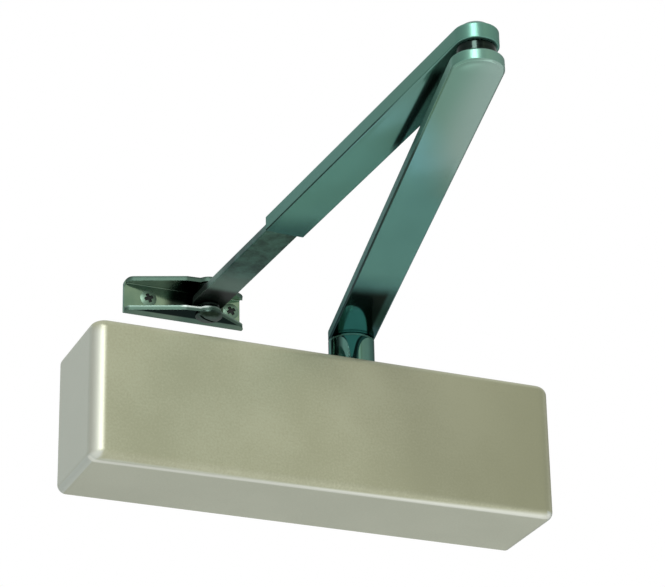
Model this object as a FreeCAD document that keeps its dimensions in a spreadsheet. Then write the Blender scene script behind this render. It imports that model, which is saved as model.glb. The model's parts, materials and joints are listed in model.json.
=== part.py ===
import FreeCAD, Part
import math
import os
import re
import Sketcher

# Overhead door closer. Millimetres, +Z up, +Y into the door, +X along the closer.
# The origin is on the door face, level with the middle of the closer body.

Vector = FreeCAD.Vector
doc = FreeCAD.newDocument("door_closer")

# Driving sizes
sizes = {
    "cover_length": 250.0,
    "cover_height": 73.5,
    "cover_depth": 54.5,
    "cover_wall": 1.2,
    "cover_bend": 8.0,
    "cover_edge": 4.5,
    "cover_door_gap": 0.3,
    "cover_side_gap": 0.3,
    "notch_gap": 1.0,
    "plate_thickness": 4.0,
    "plate_flange_depth": 14.0,
    "plate_flange_inset": 7.75,
    "plate_flange_wall": 2.0,
    "door_hole_inset": 11.0,
    "door_hole_edge": 8.75,
    "door_hole_radius": 2.75,
    "door_sink_radius": 5.2,
    "body_end_gap": 20.0,
    "body_front_gap": 7.3,
    "body_top_gap": 3.05,
    "body_edge": 4.0,
    "ear_length": 13.5,
    "ear_thickness": 8.0,
    "ear_height": 30.0,
    "body_screw_reach": 7.0,
    "body_screw_rise": 16.0,
    "body_screw_radius": 2.5,
    "body_screw_head": 4.25,
    "body_screw_head_height": 5.0,
    "body_screw_setback": 0.5,
    "cap_wall": 2.0,
    "cap_step": 2.0,
    "cap_thickness": 14.0,
    "cap_drive_radius": 5.5,
    "cap_drive_depth": 5.0,
    "seal_section": 1.05,
    "seal_groove_depth": 2.1,
    "seal_groove_width": 2.6,
    "spindle_offset": 24.7,
    "pinion_teeth": 11.0,
    "gear_module": 1.5,
    "gear_addendum": 1.3,
    "gear_root_gap": 0.25,
    "gear_backlash": 0.2,
    "pressure_angle": 25.0,
    "gear_half_height": 15.5,
    "journal_radius": 8.0,
    "shaft_foot_gap": 1.0,
    "spindle_square": 11.0,
    "square_end_gap": 1.0,
    "plug_radius": 15.0,
    "plug_gap": 0.3,
    "bearing_outer": 12.0,
    "plug_lip": 2.8,
    "shaft_seal_outer": 11.0,
    "shaft_seal_length": 3.0,
    "plug_floor": 3.0,
    "fit_clearance": 0.05,
    "press_clearance": 0.02,
    "part_gap": 0.3,
    "overrun": 1.0,
    "bar_end_flat": 0.02,
    "piston_spring_head": 25.2,
    "piston_end_gap": 8.0,
    "window_margin": 1.2,
    "opening_angle": 150.0,
    "overclose_angle": 12.0,
    "check_passage": 2.0,
    "check_chamber": 3.3,
    "check_ball": 3.0,
    "check_chamber_depth": 8.5,
    "retainer_thickness": 1.5,
    "retainer_hole": 1.2,
    "spring_wire": 4.2,
    "spring_gap": 1.5,
    "spring_turns": 9.0,
    "seat_gap": 1.2,
    "seat_thickness": 5.0,
    "seat_boss_gap": 1.8,
    "seat_boss_length": 10.0,
    "power_screw_radius": 4.0,
    "power_screw_head": 6.5,
    "power_screw_head_depth": 5.0,
    "power_screw_drive": 3.0,
    "power_screw_reach": 32.0,
    "spanner_hole_radius": 1.6,
    "spanner_hole_depth": 3.0,
    "spanner_hole_reach": 12.0,
    "valve_front_edge": 5.7,
    "valve_top_edge": 6.0,
    "valve_head": 3.5,
    "valve_head_length": 9.0,
    "valve_stem": 2.0,
    "valve_length": 20.0,
    "valve_tip": 0.6,
    "valve_point": 3.0,
    "valve_slot_depth": 1.7,
    "valve_seal_section": 0.6,
    "port_radius": 1.2,
    "driver_slot": 1.2,
    "hub_gap": 0.4,
    "hub_show": 21.65,
    "arm_thickness": 6.4,
    "arm_width": 24.0,
    "arm_length": 284.5,
    "arm_angle": 12.2,
    "arm_bevel": 0.8,
    "arm_washer_radius": 9.0,
    "arm_washer_thickness": 1.4,
    "arm_screw_radius": 3.0,
    "arm_screw_length": 16.0,
    "arm_screw_flats": 10.0,
    "arm_screw_head": 4.0,
    "elbow_gap": 5.8,
    "stud_radius": 5.0,
    "stud_head_radius": 7.5,
    "stud_head_height": 2.4,
    "stud_cover": 1.2,
    "spacer_radius": 8.8,
    "sleeve_side_wall": 1.75,
    "sleeve_length": 196.7,
    "sleeve_wall": 1.8,
    "sleeve_edge": 0.8,
    "sleeve_solid_end": 28.0,
    "rod_width": 16.7,
    "rod_thickness": 4.0,
    "rod_overlap": 97.0,
    "rod_edge": 0.6,
    "slide_clearance": 0.1,
    "clamp_setback": 11.0,
    "clamp_radius": 2.5,
    "clamp_head_radius": 4.0,
    "clamp_head_height": 2.6,
    "bracket_offset": 50.1,
    "bracket_standoff": 13.4,
    "bracket_left": 42.4,
    "bracket_right": 22.9,
    "bracket_plate_inset": 1.7,
    "bracket_sheet": 2.5,
    "bracket_height": 19.1,
    "bracket_bend": 2.0,
    "flange_left_edge": 8.6,
    "flange_right_edge": 9.4,
    "flange_nose": 6.4,
    "flange_shoulder": 13.0,
    "flange_shoulder_depth": 2.6,
    "flange_shoulder_step": 1.2,
    "rod_above_flange": 3.6,
    "pin_radius": 3.0,
    "pin_head_radius": 7.0,
    "pin_head_height": 3.0,
    "pin_rivet_radius": 4.6,
    "pin_rivet_height": 1.4,
    "bush_radius": 5.5,
    "bracket_screw_left": 29.2,
    "bracket_screw_right": 16.3,
    "bracket_screw_radius": 2.1,
    "bracket_thread_radius": 1.9,
    "bracket_screw_point": 4.0,
    "bracket_screw_head": 4.4,
    "bracket_screw_head_height": 2.2,
    "bracket_screw_reach": 15.0,
    "cross_width": 1.1,
    "cross_reach": 2.3,
    "cross_depth": 1.2,
}

sheet = doc.addObject("Spreadsheet::Sheet", "sizes")
for row, (alias, number) in enumerate(sizes.items(), start=1):
    sheet.set("A%d" % row, alias)
    sheet.set("B%d" % row, repr(number))
    sheet.setAlias("B%d" % row, alias)
doc.recompute()

# Places worked out from the driving sizes, as text for the expressions
places = {
    "plate_half": "cover_length / 2 - cover_wall - cover_side_gap",
    "plate_height": "cover_height - 2 * cover_edge",
    "body_length": "cover_length - 2 * body_end_gap",
    "body_depth": "cover_depth - cover_wall - body_front_gap - plate_thickness",
    "body_height": "cover_height - 2 * cover_wall - 2 * body_top_gap",
    "body_front": "-plate_thickness - body_depth",
    "spindle_depth": "plate_thickness + body_depth / 2",
    "cap_radius": "body_depth / 2 - cap_wall",
    "bore_radius": "cap_radius - cap_step",
    "cap_face": "body_length / 2 - cap_thickness",
    "pitch_radius": "gear_module * pinion_teeth / 2",
    "shaft_foot": "body_height / 2 - plug_floor - shaft_foot_gap",
    "plug_inner": "bore_radius + plug_gap",
    "seal_top": "body_height / 2 - plug_lip",
    "seal_low": "seal_top - shaft_seal_length - part_gap",
    "bearing_length": "seal_low - plug_inner - 2 * part_gap",
    "window_reach": "pitch_radius + gear_addendum + window_margin",
    "piston_left": "spindle_x - window_reach - pitch_radius * overclose_angle * pi / 180"
                   " - piston_spring_head",
    "piston_right": "cap_face - piston_end_gap",
    "spring_outer": "bore_radius - spring_gap",
    "spring_grind": "spring_wire / 5",
    "seat_radius": "bore_radius - seat_gap",
    "seat_boss_radius": "spring_outer - spring_wire - seat_boss_gap",
    "valve_side": "body_depth / 2 - valve_front_edge",
    "valve_rise": "body_height / 2 - valve_top_edge",
    "hub_radius": "arm_width / 2",
    "arm_underside": "cover_height / 2 + hub_show",
    "sleeve_width": "rod_width + 2 * slide_clearance + 2 * sleeve_side_wall",
    "spindle_x": "spindle_offset",
    "spindle_y": "-spindle_depth",
    "elbow_x": "spindle_offset - arm_length * sin(arm_angle)",
    "elbow_y": "-spindle_depth - arm_length * cos(arm_angle)",
    "pivot_x": "-bracket_offset",
    "pivot_y": "-bracket_standoff",
    "arm_top": "arm_underside + arm_thickness",
    "sleeve_base": "arm_underside + arm_thickness + elbow_gap",
    "sleeve_thickness": "2 * sleeve_wall + 2 * slide_clearance + rod_thickness",
    "rod_base": "arm_underside + arm_thickness + elbow_gap + sleeve_wall + slide_clearance",
}


def spell(text):
    """Write a size formula as an expression on the sheet."""
    while True:
        longer = re.sub(r"\b(" + "|".join(places) + r")\b", lambda m: "(" + places[m.group(1)] + ")", text)
        if longer == text:
            break
        text = longer
    return re.sub(r"\b(" + "|".join(sizes) + r")\b", r"sizes.\1", text)


def value(text):
    """Work out a size formula as a number."""
    return float(doc.sizes.evalExpression(spell(text)))


def bind(item, **formulas):
    for name, text in formulas.items():
        item.setExpression(name.replace("_of_", "."), spell(str(text)))
    return item


def place(item, x="0", y="0", z="0", turn="0", axis="0;0;1"):
    text = "placement(vector(%s;%s;%s);rotation(vector(%s);%s))" % (x, y, z, axis, turn)
    item.setExpression("Placement", spell(text))
    return item


def block(name, length, width, height, x="0", y="0", z="0"):
    """A box from its low corner."""
    item = doc.addObject("Part::Box", name)
    bind(item, Length=length, Width=width, Height=height)
    return place(item, x, y, z)


def cylinder(name, radius, length, x="0", y="0", z="0", along="z"):
    """A cylinder from the centre of its low end."""
    item = doc.addObject("Part::Cylinder", name)
    bind(item, Radius=radius, Height=length)
    turn, axis = {"z": ("0", "0;0;1"), "x": ("90", "0;1;0"), "y": ("-90", "1;0;0")}[along]
    return place(item, x, y, z, turn, axis)


def join(name, items):
    item = doc.addObject("Part::MultiFuse", name)
    item.Shapes = items
    item.Refine = True
    return item


def cut(name, base, tools):
    item = doc.addObject("Part::Cut", name)
    item.Base = base
    item.Tool = tools[0] if len(tools) == 1 else join(name + "_tools", tools)
    item.Refine = True
    return item


def trace(body, name, role, corners, offset="0"):
    """A closed sketch of straight lines whose corners are size formulas."""
    sketch = body.newObject("Sketcher::SketchObject", name)
    plane = next(item for item in body.Origin.OriginFeatures if item.Role == role)
    sketch.AttachmentSupport = [(plane, "")]
    sketch.MapMode = "FlatFace"
    bind(sketch, AttachmentOffset_of_Base_of_z=offset)
    points = [Vector(value(x), value(y), 0) for x, y in corners]
    count = len(points)
    for index in range(count):
        sketch.addGeometry(Part.LineSegment(points[index], points[(index + 1) % count]))
    for index in range(count):
        sketch.addConstraint(Sketcher.Constraint("Coincident", index, 2, (index + 1) % count, 1))
    for index, corner in enumerate(corners):
        for kind, size, text in zip(("DistanceX", "DistanceY"), points[index], corner):
            number = sketch.addConstraint(Sketcher.Constraint(kind, -1, 1, index, 1, size))
            sketch.setExpression("Constraints[%d]" % number, spell(text))
    return sketch


def slab(name, corners, thickness, offset="0", role="XY_Plane"):
    """A body with one padded outline."""
    body = doc.addObject("PartDesign::Body", name)
    sketch = trace(body, name + "_outline", role, corners, offset)
    pad = body.newObject("PartDesign::Pad", name + "_pad")
    pad.Profile = sketch
    bind(pad, Length=thickness)
    doc.recompute()
    return body


def rectangle(x0, x1, y0, y1):
    return [(x0, y0), (x1, y0), (x1, y1), (x0, y1)]


def round_edges(body, name, radius, wanted):
    """Fillet the edges of a body that a test picks."""
    tip = body.Tip
    names = ["Edge%d" % (i + 1) for i, edge in enumerate(tip.Shape.Edges) if wanted(edge)]
    fillet = body.newObject("PartDesign::Fillet", name)
    fillet.Base = (tip, names)
    bind(fillet, Radius=radius)
    doc.recompute()
    return body


def upright(edge):
    """True for a straight edge along Z."""
    return (len(edge.Vertexes) == 2 and abs(edge.Vertexes[0].X - edge.Vertexes[1].X) < 1e-6
            and abs(edge.Vertexes[0].Y - edge.Vertexes[1].Y) < 1e-6)


def turned(name, profile, x="0", y="0", z="0", along="z"):
    """A body turned from a profile of (radius, height) corners."""
    body = doc.addObject("PartDesign::Body", name)
    sketch = trace(body, name + "_profile", "XZ_Plane", profile)
    lathe = body.newObject("PartDesign::Revolution", name + "_turn")
    lathe.Profile = sketch
    lathe.ReferenceAxis = (sketch, ["V_Axis"])
    lathe.Angle = 360.0
    doc.recompute()
    turn, axis = {"z": ("0", "0;0;1"), "x": ("90", "0;1;0"), "y": ("-90", "1;0;0")}[along]
    return place(body, x, y, z, turn, axis)


def ring(name, inner, outer, low, high, x="0", y="0", z="0", along="z"):
    return turned(name, [(inner, low), (outer, low), (outer, high), (inner, high)], x, y, z, along)


kept = []


def keep(label, item):
    """List a finished sub-part under its own label."""
    item.Label = label
    kept.append(item)
    return item


# Mounting plate with an ear at each end that the cover slides over
def mounting_plate():
    pieces = [block("plate_sheet", "2 * plate_half", "plate_thickness", "plate_height",
                    "-plate_half", "-plate_thickness", "-plate_height / 2")]
    for side, x in (("left", "-plate_half"), ("right", "plate_half - plate_flange_wall")):
        pieces.append(block("plate_flange_" + side, "plate_flange_wall",
                            "plate_flange_depth + plate_thickness",
                            "plate_height - 2 * plate_flange_inset", x,
                            "-plate_thickness - plate_flange_depth",
                            "plate_flange_inset - plate_height / 2"))
    holes = []
    for number, (side, rise) in enumerate(((-1, -1), (-1, 1), (1, -1), (1, 1))):
        x = "%d * (plate_half - door_hole_inset)" % side
        z = "%d * (plate_height / 2 - door_hole_edge)" % rise
        holes.append(cylinder("door_hole_%d" % number, "door_hole_radius", "3 * plate_thickness",
                              x, "-2 * plate_thickness", z, "y"))
        sink = doc.addObject("Part::Cone", "door_sink_%d" % number)
        bind(sink, Radius1="door_sink_radius", Radius2="door_hole_radius",
             Height="door_sink_radius - door_hole_radius")
        place(sink, x, "-plate_thickness", z, "-90", "1;0;0")
        holes.append(sink)
        holes.append(cylinder("plate_tapping_%d" % number, "body_screw_radius + fit_clearance",
                              "3 * plate_thickness", "%d * (body_length / 2 + body_screw_reach)" % side,
                              "-2 * plate_thickness", "%d * body_screw_rise / 2" % rise, "y"))
    keep("mounting_plate", cut("plate_cut", join("plate_blank", pieces), holes))


# Closer body: one casting with the piston bore, two pinion bosses, fixing ears and valve bores
def body_casting():
    body = slab("casting_block", rectangle("-body_length / 2", "body_length / 2",
                                           "body_front", "-plate_thickness"),
                "body_height", "-body_height / 2")
    round_edges(body, "casting_edges", "body_edge",
                lambda edge: edge.Length > value("body_length / 2") and
                edge.CenterOfMass.y < value("spindle_y"))
    ears = [body]
    for side, x in (("left", "-body_length / 2 - ear_length"), ("right", "body_length / 2 - overrun")):
        ears.append(block("casting_ear_" + side, "ear_length + overrun", "ear_thickness", "ear_height",
                          x, "-plate_thickness - ear_thickness", "-ear_height / 2"))
    tools = [cylinder("bore", "bore_radius", "body_length + 2 * overrun",
                      "-body_length / 2 - overrun", "spindle_y", "0", "x")]
    for side, x in (("left", "-body_length / 2 - overrun"), ("right", "cap_face")):
        tools.append(cylinder("cap_bore_" + side, "cap_radius + fit_clearance", "cap_thickness + overrun",
                              x, "spindle_y", "0", "x"))
    tools.append(cylinder("boss_bore", "plug_radius + fit_clearance", "body_height + 2 * overrun",
                          "spindle_x", "spindle_y", "-body_height / 2 - overrun"))
    for number, (side, rise) in enumerate(((-1, -1), (-1, 1), (1, -1), (1, 1))):
        tools.append(cylinder("ear_hole_%d" % number, "body_screw_radius + fit_clearance",
                              "ear_thickness + 2 * overrun",
                              "%d * (body_length / 2 + body_screw_reach)" % side,
                              "-plate_thickness - ear_thickness - overrun",
                              "%d * body_screw_rise / 2" % rise, "y"))
    for name, (side, rise) in valve_places.items():
        y = "spindle_y + %d * valve_side" % side
        z = "%d * valve_rise" % rise
        tools.append(cylinder(name + "_head_bore", "valve_head + fit_clearance",
                              "valve_head_length + overrun",
                              "body_length / 2 - valve_head_length", y, z, "x"))
        tools.append(cylinder(name + "_stem_bore", "valve_stem + fit_clearance", "valve_length + overrun",
                              "body_length / 2 - valve_length - part_gap", y, z, "x"))
        low = "0" if rise > 0 else "-valve_rise"
        tools.append(cylinder(name + "_port", "port_radius", "valve_rise",
                              "body_length / 2 - valve_length + port_radius", y, low))
    keep("body_casting", cut("casting_cut", join("casting_blank", ears), tools))


# Each speed valve's side of the bore and height: front is -1, up is +1
valve_places = {"closing_valve": (-1, 1), "latch_valve": (-1, -1), "backcheck_valve": (1, 1)}


# End caps screw into the bore, flush with the casting, each with a seal in its groove
def end_caps():
    groove = ("cap_thickness / 2 - seal_groove_width / 2", "cap_thickness / 2 + seal_groove_width / 2")
    profile = [("0", "0"), ("cap_radius", "0"), ("cap_radius", groove[0]),
               ("cap_radius - seal_groove_depth", groove[0]),
               ("cap_radius - seal_groove_depth", groove[1]), ("cap_radius", groove[1]),
               ("cap_radius", "cap_thickness"), ("0", "cap_thickness")]
    spring_cap = turned("spring_cap_blank", profile, "-body_length / 2", "spindle_y", "0", "x")
    holes = [cylinder("spring_cap_hole", "power_screw_radius + fit_clearance",
                      "cap_thickness + 2 * overrun", "-body_length / 2 - overrun", "spindle_y", "0", "x"),
             cylinder("spring_cap_recess", "power_screw_head + part_gap",
                      "power_screw_head_depth + overrun", "-body_length / 2 - overrun",
                      "spindle_y", "0", "x")]
    for name, side in (("front", -1), ("rear", 1)):
        holes.append(cylinder("spanner_hole_" + name, "spanner_hole_radius", "spanner_hole_depth + overrun",
                              "-body_length / 2 - overrun", "spindle_y + %d * spanner_hole_reach" % side,
                              "0", "x"))
    keep("spring_end_cap", cut("spring_cap_cut", spring_cap, holes))
    valve_cap = turned("valve_cap_blank", profile, "cap_face", "spindle_y", "0", "x")
    drive = doc.addObject("Part::Prism", "valve_cap_drive")
    drive.Polygon = 6
    bind(drive, Circumradius="cap_drive_radius", Height="cap_drive_depth + overrun")
    place(drive, "body_length / 2 - cap_drive_depth", "spindle_y", "0", "90", "0;1;0")
    keep("valve_end_cap", cut("valve_cap_cut", valve_cap, [drive]))
    seals = []
    for side, x in (("left", "-body_length / 2 + cap_thickness / 2"),
                    ("right", "body_length / 2 - cap_thickness / 2")):
        seal = doc.addObject("Part::Torus", "cap_seal_" + side)
        bind(seal, Radius1="cap_radius - seal_groove_depth / 2", Radius2="seal_section - press_clearance")
        seals.append(place(seal, x, "spindle_y", "0", "90", "0;1;0"))
    group = doc.addObject("Part::Compound", "cap_seals")
    group.Links = seals
    keep("end_cap_seals", group)


# Bearing plugs close the pinion bosses: the upper lets the spindle out, the lower is blind
def bearing_plugs():
    high = "body_height / 2"
    pocket = "bearing_outer + press_clearance"
    upper = [("plug_radius", "plug_inner"), ("plug_radius", high), ("journal_radius + part_gap", high),
             ("journal_radius + part_gap", "seal_top"), ("shaft_seal_outer + press_clearance", "seal_top"),
             ("shaft_seal_outer + press_clearance", "seal_low"), (pocket, "seal_low"),
             (pocket, "plug_inner")]
    keep("upper_bearing_plug", turned("upper_plug", upper, "spindle_x", "spindle_y"))
    floor = "-body_height / 2 + plug_floor"
    lower = [("0", "-body_height / 2"), ("plug_radius", "-body_height / 2"),
             ("plug_radius", "-plug_inner"), (pocket, "-plug_inner"), (pocket, floor), ("0", floor)]
    keep("lower_bearing_plug", turned("lower_plug", lower, "spindle_x", "spindle_y"))
    inner = "journal_radius + fit_clearance"
    start = "plug_inner + part_gap"
    keep("upper_bearing", ring("upper_race", inner, "bearing_outer", start,
                               "%s + bearing_length" % start, "spindle_x", "spindle_y"))
    keep("lower_bearing", ring("lower_race", inner, "bearing_outer", "-(%s + bearing_length)" % start,
                               "-(%s)" % start, "spindle_x", "spindle_y"))
    keep("spindle_seal", ring("seal_ring", inner, "shaft_seal_outer", "seal_low + press_clearance",
                              "seal_low + shaft_seal_length", "spindle_x", "spindle_y"))


def gear_outline():
    """Corners of the pinion's teeth: involute flanks on radial feet, a tooth space facing the rack."""
    teeth = int(round(value("pinion_teeth")))
    pitch = value("pitch_radius")
    pressure = math.radians(value("pressure_angle"))
    base = pitch * math.cos(pressure)
    tip = pitch + value("gear_addendum")
    root = pitch - value("gear_addendum") - value("gear_root_gap")
    half = (math.pi * value("gear_module") / 2 - value("gear_backlash")) / (2 * pitch)

    def flank(radius):
        slope = math.acos(base / radius)
        return half + math.tan(pressure) - pressure - (math.tan(slope) - slope)

    radii = [base + (tip - base) * step / 4 for step in range(5)]
    side = [(root, flank(base))] + [(radius, flank(radius)) for radius in radii]
    corners = []
    for tooth in range(teeth):
        middle = -math.pi / 2 + (tooth + 0.5) * 2 * math.pi / teeth
        corners += [(radius, middle - turn) for radius, turn in side]
        corners += [(radius, middle + turn) for radius, turn in reversed(side)]
    return [Vector(radius * math.cos(turn), radius * math.sin(turn), 0) for radius, turn in corners]


def prism(corners, low, high):
    points = [Vector(point.x, point.y, low) for point in corners]
    face = Part.Face(Part.makePolygon(points + [points[0]]))
    return face.extrude(Vector(0, 0, high - low))


# Pinion: teeth in the middle, a journal each side and a square end for the arm
def pinion():
    teeth = doc.addObject("Part::Feature", "pinion_teeth_ring")
    reach = value("gear_half_height")
    teeth.Shape = prism(gear_outline(), -reach, reach)
    place(teeth, "spindle_x", "spindle_y")
    shaft = cylinder("pinion_journals", "journal_radius",
                     "body_height / 2 + shaft_foot + hub_gap / 2", "spindle_x", "spindle_y", "-shaft_foot")
    waist = ring("pinion_waist", "pitch_radius - gear_addendum - gear_root_gap", "2 * journal_radius",
                 "-gear_half_height", "gear_half_height", "spindle_x", "spindle_y")
    body = cut("pinion_spindle", shaft, [waist])
    square = block("pinion_square", "spindle_square", "spindle_square",
                   "arm_top - body_height / 2 - square_end_gap",
                   "spindle_x - spindle_square / 2", "spindle_y - spindle_square / 2", "body_height / 2")
    drill = cylinder("pinion_tapping", "arm_screw_radius + fit_clearance", "arm_screw_length + 2 * overrun",
                     "spindle_x", "spindle_y", "arm_top - arm_screw_length - overrun")
    keep("pinion_shaft", cut("pinion_cut", join("pinion_blank", [body, teeth, square]), [drill]))


def rack_window():
    """Corners of the piston's window: rack teeth on its front side, plain on its rear side."""
    pitch = value("pitch_radius")
    step = math.pi * value("gear_module")
    slope = math.tan(math.radians(value("pressure_angle")))
    addendum = value("gear_addendum")
    depth = addendum + value("gear_root_gap")
    half = (step / 2 - value("gear_backlash")) / 2
    reach = value("window_reach")
    left = -reach - pitch * math.radians(value("overclose_angle"))
    right = reach + pitch * math.radians(value("opening_angle"))
    root = -pitch - depth
    corners = [Vector(left, root, 0)]
    first = math.ceil((left + half + depth * slope) / step)
    last = math.floor((right - half - depth * slope) / step)
    for tooth in range(first, last + 1):
        middle = tooth * step
        foot = half + depth * slope
        peak = half - addendum * slope
        corners += [Vector(middle - foot, root, 0), Vector(middle - peak, -pitch + addendum, 0),
                    Vector(middle + peak, -pitch + addendum, 0), Vector(middle + foot, root, 0)]
    rear = pitch + addendum + 2 * value("part_gap")
    corners += [Vector(right, root, 0), Vector(right, rear, 0), Vector(left, rear, 0)]
    return corners


# Piston with the rack, and a check valve in its right-hand head
def piston():
    blank = cylinder("piston_blank", "bore_radius - fit_clearance", "piston_right - piston_left",
                     "piston_left", "spindle_y", "0", "x")
    window = doc.addObject("Part::Feature", "piston_window")
    reach = value("bore_radius") + 1
    window.Shape = prism(rack_window(), -reach, reach)
    place(window, "spindle_x", "spindle_y")
    end = "piston_right"
    tools = [window,
             cylinder("check_hole", "check_passage", "%s - spindle_x" % end, "spindle_x", "spindle_y",
                      "0", "x"),
             cylinder("check_bore", "check_chamber", "check_chamber_depth + overrun",
                      "%s - check_chamber_depth" % end, "spindle_y", "0", "x")]
    keep("piston", cut("piston_cut", blank, tools))
    keep("check_ball_retainer", ring("retainer_ring", "retainer_hole", "check_chamber - press_clearance",
                                     "-retainer_thickness", "0", end, "spindle_y", "0", "x"))
    ball = doc.addObject("Part::Sphere", "check_ball_blank")
    bind(ball, Radius="check_ball")
    place(ball, "%s - check_chamber_depth + sqrt(check_ball ^ 2 - check_passage ^ 2) + fit_clearance" % end,
          "spindle_y", "0")
    keep("check_ball", ball)


# Closing spring between the piston and the seat, its ends ground flat
def closing_spring():
    low = "-cap_face + part_gap + seat_thickness"
    length = "piston_left - (%s) - 2 * fit_clearance" % low
    path = doc.addObject("Part::Helix", "spring_path")
    bind(path, Height="%s - 2 * spring_grind" % length, Radius="spring_outer - spring_wire / 2",
         Pitch="(%s - 2 * spring_grind) / spring_turns" % length)
    section = doc.addObject("Part::Circle", "spring_section")
    bind(section, Radius="spring_wire / 2")
    place(path, "0", "0", "spring_grind")
    place(section, "spring_outer - spring_wire / 2", "0", "spring_grind", "90", "1;0;0")
    coil = doc.addObject("Part::Sweep", "spring_coil")
    coil.Sections = [section]
    coil.Spine = (path, ["Edge1"])
    coil.Solid = True
    coil.Frenet = True
    space = cylinder("spring_space", "spring_outer + overrun", length)
    doc.recompute()
    ground = doc.addObject("Part::Common", "spring_ground")
    ground.Base = coil
    ground.Tool = space
    keep("closing_spring", place(ground, "%s + fit_clearance" % low, "spindle_y", "0", "90", "0;1;0"))


# Spring seat and the screw that moves it along the bore
def power_adjuster():
    low = "-cap_face + part_gap"
    seat = [("power_screw_radius + fit_clearance", "0"), ("seat_radius", "0"),
            ("seat_radius", "seat_thickness"), ("seat_boss_radius", "seat_thickness"),
            ("seat_boss_radius", "seat_thickness + seat_boss_length"),
            ("power_screw_radius + fit_clearance", "seat_thickness + seat_boss_length")]
    keep("spring_seat", turned("seat_blank", seat, low, "spindle_y", "0", "x"))
    head = "power_screw_head_depth - part_gap"
    screw = [("0", "part_gap"), ("power_screw_head", "part_gap"), ("power_screw_head", head),
             ("power_screw_radius", head), ("power_screw_radius", "cap_thickness + power_screw_reach"),
             ("0", "cap_thickness + power_screw_reach")]
    blank = turned("power_blank", screw, "-body_length / 2", "spindle_y", "0", "x")
    drive = doc.addObject("Part::Prism", "power_drive")
    drive.Polygon = 6
    bind(drive, Circumradius="power_screw_drive", Height="power_screw_head_depth")
    place(drive, "-body_length / 2 - overrun", "spindle_y", "0", "90", "0;1;0")
    keep("power_adjust_screw", cut("power_cut", blank, [drive]))


# Speed valves: slotted needles sealed by a ring, in the right-hand end of the casting
def speed_valves():
    seals = []
    for name, (side, rise) in valve_places.items():
        y = "spindle_y + %d * valve_side" % side
        z = "%d * valve_rise" % rise
        middle = "valve_length - valve_head_length / 2"
        neck = "valve_head - 2 * valve_seal_section"
        head = "valve_length - valve_head_length + part_gap"
        low = "%s - valve_seal_section - 2 * fit_clearance" % middle
        high = "%s + valve_seal_section + 2 * fit_clearance" % middle
        needle = [("0", "0"), ("valve_tip", "0"), ("valve_stem", "valve_point"), ("valve_stem", head),
                  ("valve_head", head), ("valve_head", low), (neck, low), (neck, high),
                  ("valve_head", high), ("valve_head", "valve_length - part_gap"),
                  ("0", "valve_length - part_gap")]
        blank = turned(name + "_needle", needle, "body_length / 2 - valve_length", y, z, "x")
        slot = block(name + "_slot", "valve_slot_depth + part_gap", "4 * valve_head", "driver_slot",
                     "body_length / 2 - valve_slot_depth", "%s - 2 * valve_head" % y,
                     "%s - driver_slot / 2" % z)
        keep(name, cut(name + "_cut", blank, [slot]))
        seal = doc.addObject("Part::Torus", name + "_ring")
        bind(seal, Radius1="valve_head - valve_seal_section",
             Radius2="valve_seal_section - press_clearance")
        seals.append(place(seal, "body_length / 2 - valve_length + %s" % middle, y, z, "90", "0;1;0"))
    group = doc.addObject("Part::Compound", "valve_rings")
    group.Links = seals
    keep("valve_seals", group)


# Screws that hold the closer body on its plate
def body_screws():
    screws = []
    for number, (side, rise) in enumerate(((-1, -1), (-1, 1), (1, -1), (1, 1))):
        tip = "body_screw_head_height + ear_thickness + plate_thickness - body_screw_setback"
        profile = [("0", "0"), ("body_screw_head", "0"), ("body_screw_head", "body_screw_head_height"),
                   ("body_screw_radius", "body_screw_head_height"),
                   ("body_screw_radius", tip), ("0", tip)]
        x = "%d * (body_length / 2 + body_screw_reach)" % side
        y = "-plate_thickness - ear_thickness - body_screw_head_height"
        z = "%d * body_screw_rise / 2" % rise
        blank = turned("body_screw_blank_%d" % number, profile, x, y, z, "y")
        drive = doc.addObject("Part::Prism", "body_screw_drive_%d" % number)
        drive.Polygon = 6
        bind(drive, Circumradius="body_screw_head / 2", Height="body_screw_head_height / 2 + overrun")
        place(drive, x, "%s - overrun" % y, z, "-90", "1;0;0")
        screws.append(cut("body_screw_%d" % number, blank, [drive]))
    group = doc.addObject("Part::Compound", "body_screw_group")
    group.Links = screws
    keep("body_screws", group)


# Cover: a five-sided shell with a notch in its top that lets it slide off past the arm hub
def cover():
    shells = []
    for name, wall in (("cover_outside", "0"), ("cover_inside", "cover_wall")):
        rear = "-cover_door_gap" if wall == "0" else "1"
        shell = slab(name, rectangle("-(cover_length / 2 - %s)" % wall, "cover_length / 2 - %s" % wall,
                                     "-cover_depth + %s" % wall, rear),
                     "cover_height - 2 * %s" % wall, "-cover_height / 2 + %s" % wall)
        front = value("-cover_depth / 2")
        round_edges(shell, name + "_bends", "cover_bend - %s" % wall,
                    lambda edge: upright(edge) and edge.CenterOfMass.y < front)
        round_edges(shell, name + "_edges", "cover_edge - %s" % wall,
                    lambda edge: not upright(edge) and edge.CenterOfMass.y < front)
        shells.append(shell)
    notch = [cylinder("notch_round", "hub_radius + notch_gap", "cover_height", "spindle_x", "spindle_y"),
             block("notch_slot", "2 * (hub_radius + notch_gap)", "spindle_depth + overrun", "cover_height",
                   "spindle_x - hub_radius - notch_gap", "spindle_y")]
    keep("cover", cut("cover_cut", shells[0], [shells[1]] + notch))


# Arm hub: a round sleeve with a square hole, under the main arm
def arm_hub():
    low = "body_height / 2 + hub_gap"
    profile = [("0", low), ("hub_radius - arm_bevel", low), ("hub_radius", "%s + arm_bevel" % low),
               ("hub_radius", "arm_underside - arm_bevel / 2"),
               ("hub_radius - arm_bevel / 2", "arm_underside"), ("0", "arm_underside")]
    blank = turned("hub_blank", profile, "spindle_x", "spindle_y")
    keep("arm_hub", cut("hub_cut", blank, [square_hole("hub")]))


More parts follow.
